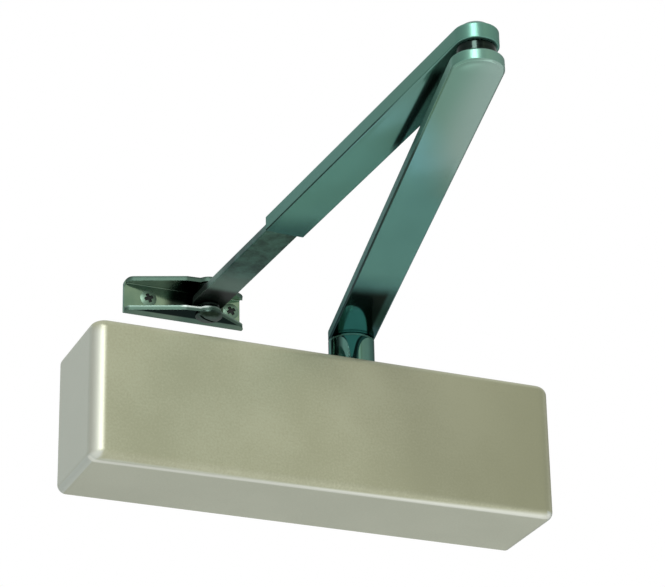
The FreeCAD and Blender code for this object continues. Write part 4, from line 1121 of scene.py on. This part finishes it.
# what polished metal sees round the studio, by compass angle in degrees: pale walls, and low dark
# screens that dim them to a share of their level
walls = [
    (-180, (0.58, 0.6, 0.59)), (-165, (0.62, 0.64, 0.63)), (-152, (0.68, 0.7, 0.69)),
    (-136, (0.64, 0.66, 0.65)), (-126, (0.5, 0.51, 0.5)), (-116, (0.42, 0.43, 0.42)),
    (-98, (0.36, 0.37, 0.35)), (-79, (0.42, 0.42, 0.37)), (-75, (1.0, 0.98, 0.84)),
    (-69, (0.85, 0.83, 0.7)), (-61, (0.52, 0.51, 0.42)), (-56, (0.66, 0.65, 0.58)),
    (-40, (0.6, 0.6, 0.55)), (40, (0.6, 0.61, 0.6)), (66, (0.46, 0.48, 0.47)),
    (92, (0.6, 0.62, 0.62)), (103, (0.95, 0.98, 0.98)), (113, (0.95, 0.98, 0.98)),
    (118, (0.55, 0.57, 0.57)), (150, (0.55, 0.57, 0.57)),
]
screens = [
    (-180, 0.14), (-167, 0.5), (-152, 1), (-131, 1), (-122, 0.18), (-106, 0.12), (-99, 0.34), (-91, 0.6),
    (-79, 0.78), (-75, 1), (-25, 0.95), (-1, 0.66), (33, 0.47), (66, 0.42), (95, 0.2), (101, 0.18),
    (104, 1), (114, 1), (120, 0.6), (131, 0.04), (162, 0.02), (176, 0.1),
]


# white to the camera, a plain fill for light, and the walls and screens for reflections
def fillWorld(g):
    place = g.node("TexCoord", output=0)
    x, y, z = (g.part(place, name) for name in "XYZ")
    compass = y.math("ARCTAN2", y, x) / (2 * math.pi) + 0.5
    wallStops = [((angle + 180) / 360, colour) for angle, colour in walls]
    screenStops = [((angle + 180) / 360, (share, share, share)) for angle, share in screens]
    wall = g.node("ValToRGB", {"stops": wallStops}, {0: compass})
    screen = g.node("ValToRGB", {"stops": screenStops}, {0: compass})
    multiply = {"data_type": "RGBA", "blend_type": "MULTIPLY"}
    dimmed = g.node("Mix", multiply, {0: 1.0, 6: wall, 7: screen}, 2)
    seen = g.blend(g.smooth(z, *studio["screenTop"]), dimmed, wall)
    seen = g.blend(g.smooth(z, *studio["ceilingRise"]), seen, (*studio["ceiling"], 1))
    cameraRay, glossyRay, clearRay = (g.node("LightPath", output=n) for n in (0, 3, 6))
    shown = g.least(cameraRay + clearRay, 1.0)

    def backdrop(colour, strength=1.0):
        return g.node("Background", None, {"Color": colour, "Strength": strength})
    around = g.mixShaders(glossyRay, backdrop(white, studio["fill"]), backdrop(seen))
    g.node("OutputWorld", None, {"Surface": g.mixShaders(shown, around, backdrop(white))})


fillWorld(Graph(world.node_tree))

# soft lamps: places and sizes in metres, powers in watts
lamps = {
    "sideBox": {"place": (-0.62, -1.24, 0.37), "size": (0.6, 0.38), "power": 7.0},
    "highBox": {"place": (-0.95, -1.6, 1.03), "size": (0.65, 0.16), "power": 8.0},
    "underBox": {"place": (0.24, -0.1, -0.62), "size": (1.3, 0.36), "power": 1.1},
}
for name, lamp in lamps.items():
    light = bpy.data.lights.new(name, "AREA")
    light.shape = "RECTANGLE"
    light.size, light.size_y = lamp["size"]
    light.energy = lamp["power"]
    item = bpy.data.objects.new(name, light)
    item.location = lamp["place"]
    item.rotation_mode = "QUATERNION"
    item.rotation_quaternion = (Vector(studio["aim"]) - Vector(lamp["place"])).to_track_quat("-Z", "Y")
    item.visible_camera = False
    scene.collection.objects.link(item)
print("studio set")
